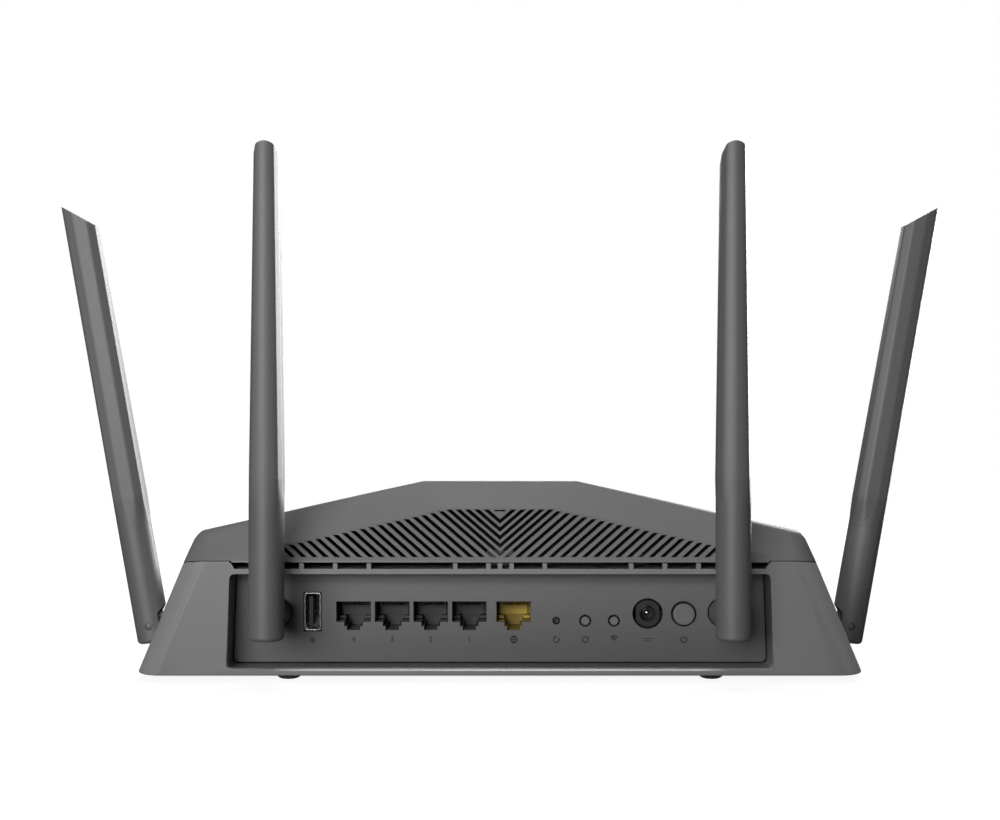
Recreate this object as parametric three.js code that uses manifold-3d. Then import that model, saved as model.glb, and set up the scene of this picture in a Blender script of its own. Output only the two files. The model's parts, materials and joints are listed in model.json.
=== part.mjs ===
// A wireless router with four folding antennas, as separate pieces. Millimetres, +Z up.
// +Y is the rear, where the sockets are, and +X is the right side for someone facing the front.
// The origin is on the table, midway between the outermost points of the whole object.
import * as THREE from 'three';
import { ConvexGeometry } from 'three/addons/geometries/ConvexGeometry.js';
import { mergeVertices } from 'three/addons/utils/BufferGeometryUtils.js';
import Module from 'manifold-3d';

const wasm = await Module();
wasm.setup();

// ---------------------------------------------------------------- driving dimensions

const fit = 0.3; // gap round a piece that turns, slides or drops into another
const rest = 0.1; // gap under a piece that rests flat on another
const wall = 2.2; // thickness of the case mouldings

// Case. Depths are measured forwards from the rear face.
const caseDepth = 165;
const caseHalfWidth = 130.15;
const caseBottom = 2.5;
const sideSlope = 0.415; // how far the sides lean in for each millimetre of height
const cornerRadius = 10;
const straightSideDepth = 75;
const joint = { rear: 43.2, front: 10 }; // height of the line between case and cover
const frontCorner = { bottomX: 76, topX: 68, depth: 150, height: 27 };
const frontTip = { height: 28, setback: 7 };
const ridge = { halfWidth: 26.1, depth: 18, height: 71.1 };
const shoulder = { height: 52.45, depth: 8.2, radius: 6, spread: 0.45 };
const midShoulder = 33; // height of the shoulder where the straight side ends

// Vent in the leaning rear face of the cover.
const vent = { halfWidth: 19.6, depth: 9.2, top: 61.3, slotBottom: 44.6, slotTop: 60.6 };
const slotTops = { flat: 17.4, slope: 0.2162 }; // level in the middle, then falling away
const slot = { lean: 1.215, width: 1.55, pitch: 3.94, firstX: 1.6 };
const chevron = { count: 5, lowest: 44.9, pitch: 2.76 };
const topSlit = { halfWidth: 2, height: 0.5 }; // closes the pattern above the chevrons

// Long air gap under the cover, with the posts that cross it.
const airGap = { halfWidth: 95.2, endSlant: 1.4, bottom: 40.4, top: 42.7, cut: 2.9 }; // cut: depth
const posts = [0, 4.1, 15.8, 46.3, 58.2, 70.1, 82];
const postWidth = 1.6;

// Recess that holds the socket panel.
const recess = {
  depth: 13,
  top: 38.6,
  bottom: 4.9,
  topHalfWidth: 95.6,
  bottomHalfWidth: 96.7,
  cornerRadius: 2,
};
const panelThickness = 2;

// Circuit board.
const board = {
  top: 15,
  thickness: 1.6,
  halfWidth: 104,
  frontHalfWidth: 72,
  frontDepth: 134,
  gapBehindPanel: 0.7,
};

// Sockets and buttons, by the x of their centres.
const lanX = [53, 39.03, 25.06, 11.09];
const internetX = -5;
const jack = { pitch: 13.97, halfWidth: 6.23, top: 27.1, ledge: 19.8, depth: 15, cavity: 11.5 };
const latch = { upperHalf: 3.35, upperBottom: 18.2, lowerHalf: 2.375, lowerBottom: 16.8 };
const jackTop = 29.2;
const usb = { x: 67.9, z: 23.45, width: 5.9, height: 13.6, sheet: 0.4, length: 14 };
const inlet = { x: -53.5, z: 22.75, noseRadius: 5.2, halfWidth: 4.25, bore: 2.9, length: 13 };
const smallButton = { radius: 1.55, hole: 2.16, z: 20.2, proud: 0.6 };
const pairX = -30.9;
const radioX = -41.3;
const resetButton = { x: -20.4, radius: 1.05, hole: 1.39, sunk: 0.8 };
const powerButton = { x: -66.5, z: 22.7, radius: 3.9, hole: 4.55, proud: 1.6 };

// Antennas. Their own frame has the hinge pin at the origin: z runs up the antenna and
// y points away from the case.
const antenna = {
  above: 167.6, // highest point before the oblique cut
  tip: 166.1, // outer end of the oblique cut
  below: 6.8,
  offset: 0.2, // centre line of the antenna, from the pin
  breadth: 13.2,
  thickness: 12.5,
  tipBreadth: 12.6,
  tipThickness: 8.6,
  bladeStart: 50,
  roundEnd: 40,
};
const tipSlope = 38.9; // degrees of the oblique cut at the top
const bladeEdge = { bottom: 9.6, top: 6.35, bulge: 0.6 };
const fork = { width: 5, reach: 5.3, notchY: -3.6, notchTop: 4.3 };
const barrel = { radius: 5.07, end: 7.6, bore: 1.6, flangeRadius: 6.6, flange: 2 };
const tab = { thickness: 4.4, radius: 5 };
const pinRadius = 1.13;
const rearAntenna = { x: 80.6, z: 23.2, behind: 10.3 };
const sideAntenna = { x: 135.2, z: 13.2, depth: 50.6, lean: 10.1, flangeX: 116.7 };
const bearing = { outerX: 124, halfLength: 8.5, bottom: 3, top: 22 }; // blocks that hold the side barrels

// Fasteners, feet and what is on the board.
const screwPlaces = { rear: [92, 30], front: [62, 118] }; // x and depth
const screw = { headRadius: 2.8, headBottom: 3, headTop: 5.2, shank: 1.4, top: 27 };
const bossRadius = 4.6; // the case's posts under the board
const columnRadius = 3.6; // the cover's posts above the board
const footPlaces = { rear: [76, 11], front: [56, 132] };
const foot = { radius: 4.75, rim: 1.9, soleRadius: 2.6, shoulderRadius: 4.2, shoulder: 0.7 };
const cableRadius = 0.9;
const lamp = { depth: 130, halfWidth: 6, halfDepth: 1, above: 1.7 }; // above: clear of the board
const chip = { depth: 72, half: 9.5, height: 1.5 };
const pad = { half: 9, thickness: 1 };
const sink = { half: 20, fins: 8, base: 2, top: 12, finWidth: 1.2 };
const can = { x: 52, depth: 62, width: 34, length: 26, height: 3.2, sheet: 0.4 };

// ---------------------------------------------------------------- places worked out from them

const antennaOuter = antenna.offset + antenna.breadth / 2;
const rearY = (caseDepth - rearAntenna.behind - antennaOuter) / 2;
const panelFront = rearY - recess.depth;
const panelBack = panelFront - panelThickness;
const boardRear = panelBack - board.gapBehindPanel;
const onBoard = board.top + rest;

// ---------------------------------------------------------------- colours

const finish = (color, roughness, metalness = 0) => ({ color, roughness, metalness });
const finishes = {
  case: finish(0x5a5a5c, 0.55),
  panel: finish(0x4c4c4e, 0.6),
  black: finish(0x161617, 0.45),
  amber: finish(0x96730f, 0.5),
  gold: finish(0xd0a648, 0.3, 1),
  steel: finish(0xb9bbbd, 0.3, 1),
  tin: finish(0xa6a8aa, 0.4, 1),
  aluminium: finish(0xc4c6c8, 0.45, 1),
  green: finish(0x1d4a2e, 0.5),
  rubber: finish(0x2a2a2b, 0.85),
  pad: finish(0x8f9aa6, 0.9),
  clear: finish(0xe8ecef, 0.2),
  cable: finish(0x222224, 0.5),
};

// ---------------------------------------------------------------- solids

function toSolid(geometry) {
  const bare = geometry.clone();
  bare.deleteAttribute('normal');
  bare.deleteAttribute('uv');
  const merged = mergeVertices(bare, 1e-4);
  return new wasm.Manifold(
    new wasm.Mesh({
      numProp: 3,
      vertProperties: new Float32Array(merged.attributes.position.array),
      triVerts: new Uint32Array(merged.index.array),
    }),
  );
}

function toGeometry(solid) {
  const mesh = solid.getMesh();
  const geometry = new THREE.BufferGeometry();
  geometry.setAttribute('position', new THREE.BufferAttribute(mesh.vertProperties, 3));
  geometry.setIndex(new THREE.BufferAttribute(mesh.triVerts, 1));
  return geometry;
}

const join = (...geometries) => toGeometry(geometries.map(toSolid).reduce((a, b) => a.add(b)));
const common = (a, b) => toGeometry(toSolid(a).intersect(toSolid(b)));

function cut(geometry, ...tools) {
  const removed = tools.map(toSolid).reduce((a, b) => a.add(b));
  return toGeometry(toSolid(geometry).subtract(removed));
}

// ---------------------------------------------------------------- plain shapes

const mirrored = (geometry) => {
  const copy = geometry.clone().scale(-1, 1, 1);
  const index = copy.index ?? new THREE.BufferAttribute(
    Uint32Array.from({ length: copy.attributes.position.count }, (_, i) => i), 1);
  const turned = index.array.slice();
  for (let i = 0; i < turned.length; i += 3) {
    [turned[i + 1], turned[i + 2]] = [turned[i + 2], turned[i + 1]];
  }
  return copy.setIndex(new THREE.BufferAttribute(turned, 1));
};

function box([x0, x1], [y0, y1], [z0, z1]) {
  const geometry = new THREE.BoxGeometry(x1 - x0, y1 - y0, z1 - z0);
  return geometry.translate((x0 + x1) / 2, (y0 + y1) / 2, (z0 + z1) / 2);
}

// A rod along one axis, between two places on it.
function rod(axis, radius, [from, to], segments = 16) {
  const geometry = new THREE.CylinderGeometry(radius, radius, to - from, segments);
  geometry.translate(0, (from + to) / 2, 0);
  if (axis === 'x') geometry.rotateZ(-Math.PI / 2);
  if (axis === 'z') geometry.rotateX(Math.PI / 2);
  return geometry;
}

// An outline in the x-z plane, carried along y between two places.
function alongY(outline, [from, to], curveSegments = 12) {
  const shape = outline instanceof THREE.Shape ? outline : new THREE.Shape(outline);
  const options = { depth: to - from, bevelEnabled: false, curveSegments };
  return new THREE.ExtrudeGeometry(shape, options).rotateX(Math.PI / 2).translate(0, to, 0);
}

// An outline in the y-z plane, carried along x, centred on x = 0.
function alongX(outline, width, curveSegments = 12) {
  const shape = outline instanceof THREE.Shape ? outline : new THREE.Shape(outline);
  const options = { depth: width, bevelEnabled: false, curveSegments };
  const geometry = new THREE.ExtrudeGeometry(shape, options).translate(0, 0, -width / 2);
  return geometry.rotateY(Math.PI / 2).rotateX(Math.PI / 2);
}

const point = (x, y) => new THREE.Vector2(x, y);
const rectangle = (x0, x1, y0, y1) => [point(x0, y0), point(x1, y0), point(x1, y1), point(x0, y1)];

// A closed skin over rings that all have the same number of points, from the bottom up.
function loft(rings) {
  const count = rings[0].length;
  const positions = rings.flat().flatMap((p) => [p.x, p.y, p.z]);
  const index = [];
  for (let ring = 0; ring < rings.length - 1; ring++) {
    for (let i = 0; i < count; i++) {
      const a = ring * count + i;
      const b = ring * count + ((i + 1) % count);
      index.push(a, b, b + count, a, b + count, a + count);
    }
  }
  const last = (rings.length - 1) * count;
  for (let i = 1; i < count - 1; i++) {
    index.push(0, i + 1, i);
    index.push(last, last + i, last + i + 1);
  }
  const geometry = new THREE.BufferGeometry();
  geometry.setAttribute('position', new THREE.Float32BufferAttribute(positions, 3));
  geometry.setIndex(index);
  return geometry;
}

// ---------------------------------------------------------------- the assembly

const router = new THREE.Group();

function add(name, geometry, look, parent = router) {
  const mesh = new THREE.Mesh(geometry, new THREE.MeshStandardMaterial(finishes[look]));
  mesh.name = name;
  parent.add(mesh);
  return mesh;
}

// ---------------------------------------------------------------- case and cover

// The whole outside of the case, or the same shape pulled in by an inset.
function caseBody(inset = 0) {
  const half = (height) => caseHalfWidth - sideSlope * (height - caseBottom) - inset * 1.08;
  const rear = rearY - inset;
  const front = inset * 1.1;
  const points = [];
  const both = (x, y, z) => {
    points.push(new THREE.Vector3(x, y, z), new THREE.Vector3(-x, y, z));
  };
  const roundedCorner = (height, setback, radius, steps, spread = 0) => {
    for (let step = 0; step <= steps; step++) {
      const angle = (Math.PI / 2) * (step / steps);
      const x = half(height) + spread - radius * (1 - Math.sin(angle));
      both(x, rear - setback - radius * (1 - Math.cos(angle)), height);
    }
  };
  roundedCorner(caseBottom + inset, 0, cornerRadius - inset, 5);
  roundedCorner(joint.rear, 0, cornerRadius - inset, 5);
  roundedCorner(shoulder.height - inset, shoulder.depth, shoulder.radius, 3, shoulder.spread);
  both(vent.halfWidth, rear - vent.depth, vent.top - inset * 0.6);
  both(ridge.halfWidth, rearY - ridge.depth - inset * 0.3, ridge.height - inset * 1.1);
  both(half(caseBottom), rearY - straightSideDepth, caseBottom + inset);
  both(half(midShoulder), rearY - straightSideDepth, midShoulder - inset);
  const cornerY = rearY - frontCorner.depth + front;
  both(frontCorner.bottomX - inset, cornerY, caseBottom + inset);
  both(frontCorner.topX - inset, cornerY, frontCorner.height - inset);
  const tipY = rearY - caseDepth + front;
  points.push(new THREE.Vector3(0, tipY, caseBottom + inset));
  points.push(new THREE.Vector3(0, tipY + frontTip.setback, frontTip.height - inset));
  return new ConvexGeometry(points);
}

// Everything above (or below) the joint line, as a big wedge to cut with.
function jointWedge(side) {
  const slope = (joint.rear - joint.front) / caseDepth;
  const reach = 200;
  const near = rearY + reach;
  const far = rearY - caseDepth - reach;
  const height = (y) => joint.rear - slope * (rearY - y) - side * (fit / 2);
  const beyond = side > 0 ? 300 : -300;
  const outline = [point(near, height(near)), point(near, beyond), point(far, beyond)];
  outline.push(point(far, height(far)));
  return alongX(outline, 2 * reach);
}

const screwSpots = Object.entries(screwPlaces).flatMap(([end, [x, depth]]) => [
  { name: `${end}_right`, x, y: rearY - depth },
  { name: `${end}_left`, x: -x, y: rearY - depth },
]);

const footSpots = Object.entries(footPlaces).flatMap(([end, [x, depth]]) => [
  { name: `${end}_right`, x, y: rearY - depth },
  { name: `${end}_left`, x: -x, y: rearY - depth },
]);

// The recess is a tunnel through the rear of the case; the panel closes its inner end.
function recessOutline(inset = 0) {
  const top = recess.top - inset;
  const bottom = recess.bottom + inset;
  const topHalf = recess.topHalfWidth - inset;
  const bottomHalf = recess.bottomHalfWidth - inset;
  const round = recess.cornerRadius - inset;
  const shape = new THREE.Shape();
  shape.moveTo(-bottomHalf + round, bottom);
  shape.lineTo(bottomHalf - round, bottom);
  shape.quadraticCurveTo(bottomHalf, bottom, bottomHalf, bottom + round);
  shape.lineTo(topHalf, top - round);
  shape.quadraticCurveTo(topHalf, top, topHalf - round, top);
  shape.lineTo(-topHalf + round, top);
  shape.quadraticCurveTo(-topHalf, top, -topHalf, top - round);
  shape.lineTo(-bottomHalf, bottom + round);
  shape.quadraticCurveTo(-bottomHalf, bottom, -bottomHalf + round, bottom);
  return shape;
}

// The openings of the air gap, between its posts.
function gapOpenings() {
  const across = [rearY - airGap.cut, rearY + 1];
  const centres = [...posts.slice(1).map((x) => -x).reverse(), ...posts];
  const starts = [-airGap.halfWidth, ...centres.map((x) => x + postWidth / 2)];
  const ends = [...centres.map((x) => x - postWidth / 2), airGap.halfWidth];
  const last = starts.length - 1;
  return starts.map((start, i) => alongY([
    point(start + (i === 0 ? airGap.endSlant : 0), airGap.bottom),
    point(ends[i] - (i === last ? airGap.endSlant : 0), airGap.bottom),
    point(ends[i], airGap.top),
    point(start, airGap.top),
  ], across));
}

function bottomCase() {
  const tunnelInner = panelBack - 0.6;
  const frame = recess.bottomHalfWidth + wall;
  const inFloor = caseBottom + 0.5;
  const shell = cut(caseBody(), caseBody(wall));
  const tunnel = box([-frame, frame], [tunnelInner, rearY - 0.5], [inFloor, airGap.bottom]);
  const bosses = screwSpots.map(({ x, y }) =>
    rod('z', bossRadius, [inFloor, board.top - board.thickness - rest]).translate(x, y, 0));
  const sideY = rearY - sideAntenna.depth;
  const block = box(
    [sideAntenna.flangeX + fit, bearing.outerX],
    [sideY - bearing.halfLength, sideY + bearing.halfLength],
    [bearing.bottom, bearing.top],
  );
  const blocks = [block, mirrored(block)].map((g) => common(g, caseBody(0.5)));
  const solid = join(shell, tunnel, ...bosses, ...blocks);

  const reach = airGap.halfWidth + fit;
  const forSkirt = box([-reach, reach], [rearY - airGap.cut, rearY + 1], [airGap.top - fit, 60]);
  const screwHoles = screwSpots.flatMap(({ x, y }) => [
    rod('z', screw.headRadius + fit, [0, screw.headTop + fit]).translate(x, y, 0),
    rod('z', screw.shank + fit, [0, 20], 12).translate(x, y, 0),
  ]);
  const sideHole = rod('x', barrel.radius + fit, [110, 130], 20).translate(0, sideY, sideAntenna.z);
  return cut(
    solid,
    jointWedge(1),
    alongY(recessOutline(), [tunnelInner - 1, rearY + 1], 4),
    forSkirt,
    ...gapOpenings(),
    ...screwHoles,
    sideHole,
    mirrored(sideHole),
  );
}

// Height of the top end of a vent slot at a distance from the middle.
const slotTopAt = (x) => vent.slotTop - slotTops.slope * Math.max(0, x - slotTops.flat);

// One sloping vent slot, from its lower inner corner.
function sideSlot(x) {
  let top = slotTopAt(x);
  for (let pass = 0; pass < 4; pass++) top = slotTopAt(x + slot.lean * (top - vent.slotBottom));
  const shift = slot.lean * (top - vent.slotBottom);
  return [
    point(x, vent.slotBottom),
    point(x + slot.width, vent.slotBottom),
    point(x + slot.width + shift, top),
    point(x + shift, top),
  ];
}

// One V-shaped vent slot, from the height of its point.
function chevronSlot(low) {
  const rise = slot.width / slot.lean;
  const outer = slot.lean * (vent.slotTop - low);
  return [
    point(0, low),
    point(outer, vent.slotTop),
    point(outer - slot.width, vent.slotTop),
    point(0, low + rise),
    point(slot.width - outer, vent.slotTop),
    point(-outer, vent.slotTop),
  ];
}

function ventSlots() {
  const span = [rearY - vent.depth - 6, rearY + 1];
  const slots = [];
  for (let i = 0; i < chevron.count; i++) {
    slots.push(alongY(chevronSlot(chevron.lowest + i * chevron.pitch), span));
  }
  const slitHeights = [vent.slotTop - topSlit.height, vent.slotTop];
  slots.push(box([-topSlit.halfWidth, topSlit.halfWidth], span, slitHeights));
  for (let x = slot.firstX; slotTopAt(x) - vent.slotBottom > 1; x += slot.pitch) {
    const right = alongY(sideSlot(x), span);
    slots.push(right, mirrored(right));
  }
  return slots;
}

function topCover() {
  const shell = cut(caseBody(), caseBody(wall), jointWedge(-1));
  const reach = airGap.halfWidth - fit;
  const skirt = box([-reach, reach], [rearY - wall, rearY - 0.05], [airGap.top, joint.rear + 1]);
  const columns = screwSpots.map(({ x, y }) =>
    common(rod('z', columnRadius, [board.top + 0.2, 80]).translate(x, y, 0), caseBody(wall / 2)));
  const screwHoles = screwSpots.map(({ x, y }) =>
    rod('z', screw.shank + fit, [0, screw.top + 0.5], 12).translate(x, y, 0));
  return cut(join(shell, skirt, ...columns), ...screwHoles, ...ventSlots(), lampBar(fit));
}

// ---------------------------------------------------------------- socket panel

function jackOutline(x, grow) {
  const { halfWidth, top, ledge } = jack;
  const steps = [
    [halfWidth + grow, top + grow],
    [halfWidth + grow, ledge - grow],
    [latch.upperHalf + grow, ledge - grow],
    [latch.upperHalf + grow, latch.upperBottom - grow],
    [latch.lowerHalf + grow, latch.upperBottom - grow],
    [latch.lowerHalf + grow, latch.lowerBottom - grow],
  ];
  const right = steps.map(([dx, z]) => point(x + dx, z));
  const left = steps.map(([dx, z]) => point(x - dx, z)).reverse();
  return [...right, ...left];
}

function socketPanel() {
  const plate = alongY(recessOutline(fit), [panelBack, panelFront], 4);
  const through = [panelBack - 1, panelFront + 1];
  const round = (x, z, radius, segments) => rod('y', radius, through, segments).translate(x, 0, z);
  const usbHalf = [usb.width / 2 + fit, usb.height / 2 + fit];
  return cut(
    plate,
    box(
      [usb.x - usbHalf[0], usb.x + usbHalf[0]],
      through,
      [usb.z - usbHalf[1], usb.z + usbHalf[1]],
    ),
    ...[...lanX, internetX].map((x) => alongY(jackOutline(x, 0), through)),
    round(resetButton.x, smallButton.z, resetButton.hole, 12),
    round(pairX, smallButton.z, smallButton.hole, 16),
    round(radioX, smallButton.z, smallButton.hole, 16),
    round(inlet.x, inlet.z, inlet.noseRadius + fit, 24),
    round(powerButton.x, powerButton.z, powerButton.hole, 28),
    round(rearAntenna.x, rearAntenna.z, barrel.radius + fit, 20),
    round(-rearAntenna.x, rearAntenna.z, barrel.radius + fit, 20),
  );
}

// A block of sockets standing on the board behind the panel.
function jackBlock(centres) {
  const low = Math.min(...centres) - jack.pitch / 2;
  const high = Math.max(...centres) + jack.pitch / 2;
  const front = panelBack - rest;
  const block = box([low + 0.1, high - 0.1], [front - jack.depth, front], [onBoard, jackTop]);
  const cavities = centres.map((x) => alongY(jackOutline(x, -0.15), [front - jack.cavity, front + 1]));
  return cut(block, ...cavities);
}

// Eight sprung contacts on a carrier at the back of one socket, from the socket's centre.
function jackContacts() {
  const front = panelBack - rest;
  const back = front - jack.cavity + fit;
  const high = jack.top - 0.6;
  const carrier = box([-4.6, 4.6], [back, back + 1.4], [high - 1.4, high]);
  const wire = [
    point(back + 1, high - 0.6),
    point(front - 3.4, high - 0.6),
    point(front - 7, high - 1.6),
    point(front - 7, high - 2),
    point(front - 2.4, high - 0.5),
    point(front - 2.4, high - 0.1),
    point(back + 1, high - 0.1),
  ];
  const wires = [];
  for (let i = 0; i < 8; i++) wires.push(alongX(wire, 0.45).translate((i - 3.5) * 1.02, 0, 0));
  return join(carrier, ...wires);
}

function usbShell() {
  const outer = [usb.width / 2, usb.height / 2];
  const shape = new THREE.Shape(rectangle(-outer[0], outer[0], -outer[1], outer[1]));
  const inner = outer.map((half) => half - usb.sheet);
  shape.holes.push(new THREE.Path(rectangle(-inner[0], inner[0], -inner[1], inner[1])));
  return alongY(shape, [panelFront - 0.1 - usb.length, panelFront - 0.1]);
}

function usbTongue() {
  const back = panelFront - usb.length;
  const halfWidth = usb.width / 2 - usb.sheet - 0.2;
  const halfHeight = usb.height / 2 - usb.sheet - 0.2;
  const base = box([-halfWidth, halfWidth], [back, back + 3], [-halfHeight, halfHeight]);
  const tongue = box([-0.2, 1.7], [back + 2, panelFront - 2], [-halfHeight + 0.5, halfHeight - 0.5]);
  return join(base, tongue);
}

function powerInlet() {
  const front = panelFront - 0.4;
  const back = panelBack - rest - inlet.length;
  const nose = common(
    rod('y', inlet.noseRadius, [panelBack - 1, front], 24),
    box([-inlet.halfWidth, inlet.halfWidth], [panelBack - 2, front + 1], [-8, 8]),
  );
  const low = onBoard - inlet.z;
  const body = box([-inlet.halfWidth, inlet.halfWidth], [back, panelBack - rest], [low, 5.7]);
  const bore = rod('y', inlet.bore, [front - 10.5, front + 1], 20);
  return cut(join(nose, body), bore, rod('y', 1.3, [back - 1, front], 12));
}

// ---------------------------------------------------------------- buttons and their switches

// Depth behind the panel of a switch's front, and how far in its socket goes.
const smallSwitch = { behind: 5.5, depth: 3.5, socket: 2.2, halfWidth: 3 };
const powerSwitch = { behind: 7.5, depth: 10.5, socket: 4, halfWidth: 4 };
const stemReach = { small: 0.5, power: 1.2 }; // how far a stem sits in its switch at rest

// A round cap through the panel, a flange behind it that keeps it in, and a stem.
function pushButton({ radius, face, flangeRadius, stem, stemEnd }) {
  const flangeFront = panelBack - fit;
  return join(
    rod('y', radius, [flangeFront - 0.5, face], radius > 2 ? 28 : 16),
    rod('y', flangeRadius, [flangeFront - 1.2, flangeFront], 20),
    stem(stemEnd, flangeFront - 1),
  );
}

const roundStem = (from, to) => rod('y', 0.9, [from, to], 10);
const squareStem = (from, to) => box([-1.6, 1.6], [from, to], [-1.6, 1.6]);

function switchBody({ behind, depth, halfWidth }, centreZ, top, socket) {
  const front = panelBack - behind;
  const low = onBoard - centreZ;
  return cut(box([-halfWidth, halfWidth], [front - depth, front], [low, top]), socket);
}

function smallSwitchBody() {
  const front = panelBack - smallSwitch.behind;
  const socket = rod('y', 1.3, [front - smallSwitch.socket, front + 1], 10);
  return switchBody(smallSwitch, smallButton.z, 3.2, socket);
}

function powerSwitchBody() {
  const front = panelBack - powerSwitch.behind;
  const socket = box([-2, 2], [front - powerSwitch.socket, front + 1], [-2, 2]);
  return switchBody(powerSwitch, powerButton.z, 4.3, socket);
}

function smallPushButton(radius, face, flangeRadius) {
  const stemEnd = panelBack - smallSwitch.behind - stemReach.small;
  return pushButton({ radius, face, flangeRadius, stem: roundStem, stemEnd });
}

// ---------------------------------------------------------------- antennas

// One ring of the antenna at a height: round near the hinge, and above that a blade with a
// narrow outer edge, three flat facets on each side and a narrow inner edge.
function antennaRing(height, blade, edge, thickness, breadth, shrink = 0) {
  const w = thickness / 2 - shrink;
  const d = breadth / 2 - shrink;
  const half = [];
  const steps = 8;
  for (let i = 0; i <= steps; i++) {
    const angle = (Math.PI * i) / steps;
    half.push([w * Math.sin(angle), d * Math.cos(angle)]);
  }
  const facets = [
    [0, d],
    [edge * 0.27, d - bladeEdge.bulge * 0.3],
    [edge / 2, d - bladeEdge.bulge],
    [(edge / 2 + w) / 2, (d - bladeEdge.bulge + 0.24 * d) / 2],
    [w, 0.24 * d],
    [w, -0.52 * d],
    [w * 0.82, -0.75 * d],
    [w * 0.64, -0.98 * d],
    [0, -d],
  ];
  const side = half.map(([x, y], i) => [
    x + (facets[i][0] - x) * blade,
    y + (facets[i][1] - y) * blade,
  ]);
  const ring = [];
  for (let i = 0; i <= steps; i++) ring.push([side[i][0], side[i][1]]);
  for (let i = steps - 1; i > 0; i--) ring.push([-side[i][0], side[i][1]]);
  return ring.reverse().map(([x, y]) => new THREE.Vector3(x, y + antenna.offset, height));
}

function antennaOuterSkin() {
  const { below, above, bladeStart, roundEnd, breadth, tipBreadth } = antenna;
  const edgeRound = 1;
  const run = (height) => (height - bladeStart) / (antenna.tip - bladeStart);
  const bladeRing = (height) => antennaRing(
    height,
    1,
    THREE.MathUtils.lerp(bladeEdge.bottom, bladeEdge.top, run(height)),
    THREE.MathUtils.lerp(12.1, antenna.tipThickness, run(height)),
    THREE.MathUtils.lerp(breadth - 0.2, tipBreadth, run(height)),
  );
  const round = (height, shrink) => antennaRing(height, 0, 0, antenna.thickness, breadth, shrink);
  const scooped = antennaRing((roundEnd + bladeStart) / 2, 0.62, 9.8, 12.3, breadth - 0.1);
  return loft([
    round(-below, edgeRound),
    round(-below + edgeRound, 0),
    round(roundEnd, 0),
    scooped,
    bladeRing(bladeStart),
    bladeRing(above),
  ]);
}

// The fork that straddles the hinge tab: open towards the case and downwards, so that the
// antenna can fold from upright to lying straight out.
function forkCutters() {
  const { width, reach, notchY, notchTop } = fork;
  const away = -20;
  const slotShape = new THREE.Shape([point(away, away), point(reach, away), point(reach, 0)]);
  slotShape.absarc(0, 0, reach, 0, Math.PI / 2, false);
  slotShape.lineTo(away, reach);
  const arcStart = -Math.sqrt(antenna.below ** 2 - notchY ** 2);
  const notch = new THREE.Shape([
    point(away, notchTop + notchY - away),
    point(notchY, notchTop),
    point(notchY, arcStart),
  ]);
  const endAngle = Math.atan2(arcStart, notchY);
  notch.absarc(0, 0, antenna.below, endAngle, -Math.PI / 2, false);
  notch.lineTo(0, away);
  notch.lineTo(away, away);
  return [alongX(slotShape, width, 6), alongX(notch, 30, 5)];
}

function antennaSleeve() {
  const cavity = (height, w, d) => [
    new THREE.Vector3(-w, antenna.offset - d, height),
    new THREE.Vector3(w, antenna.offset - d, height),
    new THREE.Vector3(w, antenna.offset + d, height),
    new THREE.Vector3(-w, antenna.offset + d, height),
  ];
  const hollow = loft([cavity(3, 2.4, 2.6), cavity(40, 3.4, 3.6), cavity(150, 1.9, 2.8)]);
  const topY = antenna.offset + antenna.tipBreadth / 2;
  const slope = Math.tan(THREE.MathUtils.degToRad(tipSlope));
  const drop = 30;
  const oblique = alongX([
    point(topY + drop, antenna.tip + drop * slope),
    point(topY - drop, antenna.tip - drop * slope),
    point(topY - drop, antenna.tip + drop),
  ].reverse(), 30);
  const lid = box([-15, 15], [topY - 40, topY + 20], [antenna.tip, antenna.tip + 20]);
  const pinHole = rod('x', pinRadius + fit, [-10, 10], 12);
  return cut(antennaOuterSkin(), hollow, oblique, lid, pinHole, ...forkCutters());
}

// The barrel turns in the case; its tab carries the hinge pin. The barrel runs towards -y.
function hingeKnuckle(flangeFront) {
  const end = flangeFront + barrel.flange;
  const barrelRod = rod('y', barrel.radius, [-end, -barrel.end], 20);
  const flange = rod('y', barrel.flangeRadius, [-end, -flangeFront], 20);
  const root = -barrel.end - 2;
  const rootHalf = tab.radius - 0.6;
  const plate = new THREE.Shape([point(root, rootHalf), point(root, -rootHalf)]);
  plate.lineTo(0, -tab.radius);
  plate.absarc(0, 0, tab.radius, -Math.PI / 2, Math.PI / 2, false);
  const tabPlate = alongX(plate, tab.thickness, 10);
  const wireWay = rod('y', barrel.bore, [-end - 1, -barrel.end - 1.5], 10);
  return cut(join(barrelRod, flange, tabPlate), wireWay, rod('x', pinRadius + fit, [-5, 5], 12));
}

function radiator() {
  const outline = [
    point(-2.1, 12), point(2.1, 12), point(2.1, 60), point(1.2, 60),
    point(1.2, 78), point(2.1, 78), point(2.1, 140), point(-2.1, 140),
    point(-2.1, 78), point(-1.2, 78), point(-1.2, 60), point(-2.1, 60),
  ];
  return alongX(outline, 0.8).translate(0, antenna.offset, 0);
}

// An antenna on its knuckle: where the pin is, which way is out, and how far it leans out.
function addAntenna(name, { x, y, z, turn, lean, flangeFront }) {
  const place = new THREE.Group();
  place.position.set(x, y, z);
  place.rotation.z = turn;
  router.add(place);
  add(`knuckle_${name}`, hingeKnuckle(flangeFront), 'case', place);
  const leaning = new THREE.Group();
  leaning.rotation.x = -THREE.MathUtils.degToRad(lean);
  place.add(leaning);
  add(`antenna_${name}`, antennaSleeve(), 'case', leaning);
  add(`hinge_pin_${name}`, rod('x', pinRadius, [-5.85, 5.85], 12), 'case', leaning);
  add(`radiator_${name}`, radiator(), 'gold', leaning);
}

// ---------------------------------------------------------------- feet, screws, board

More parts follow.
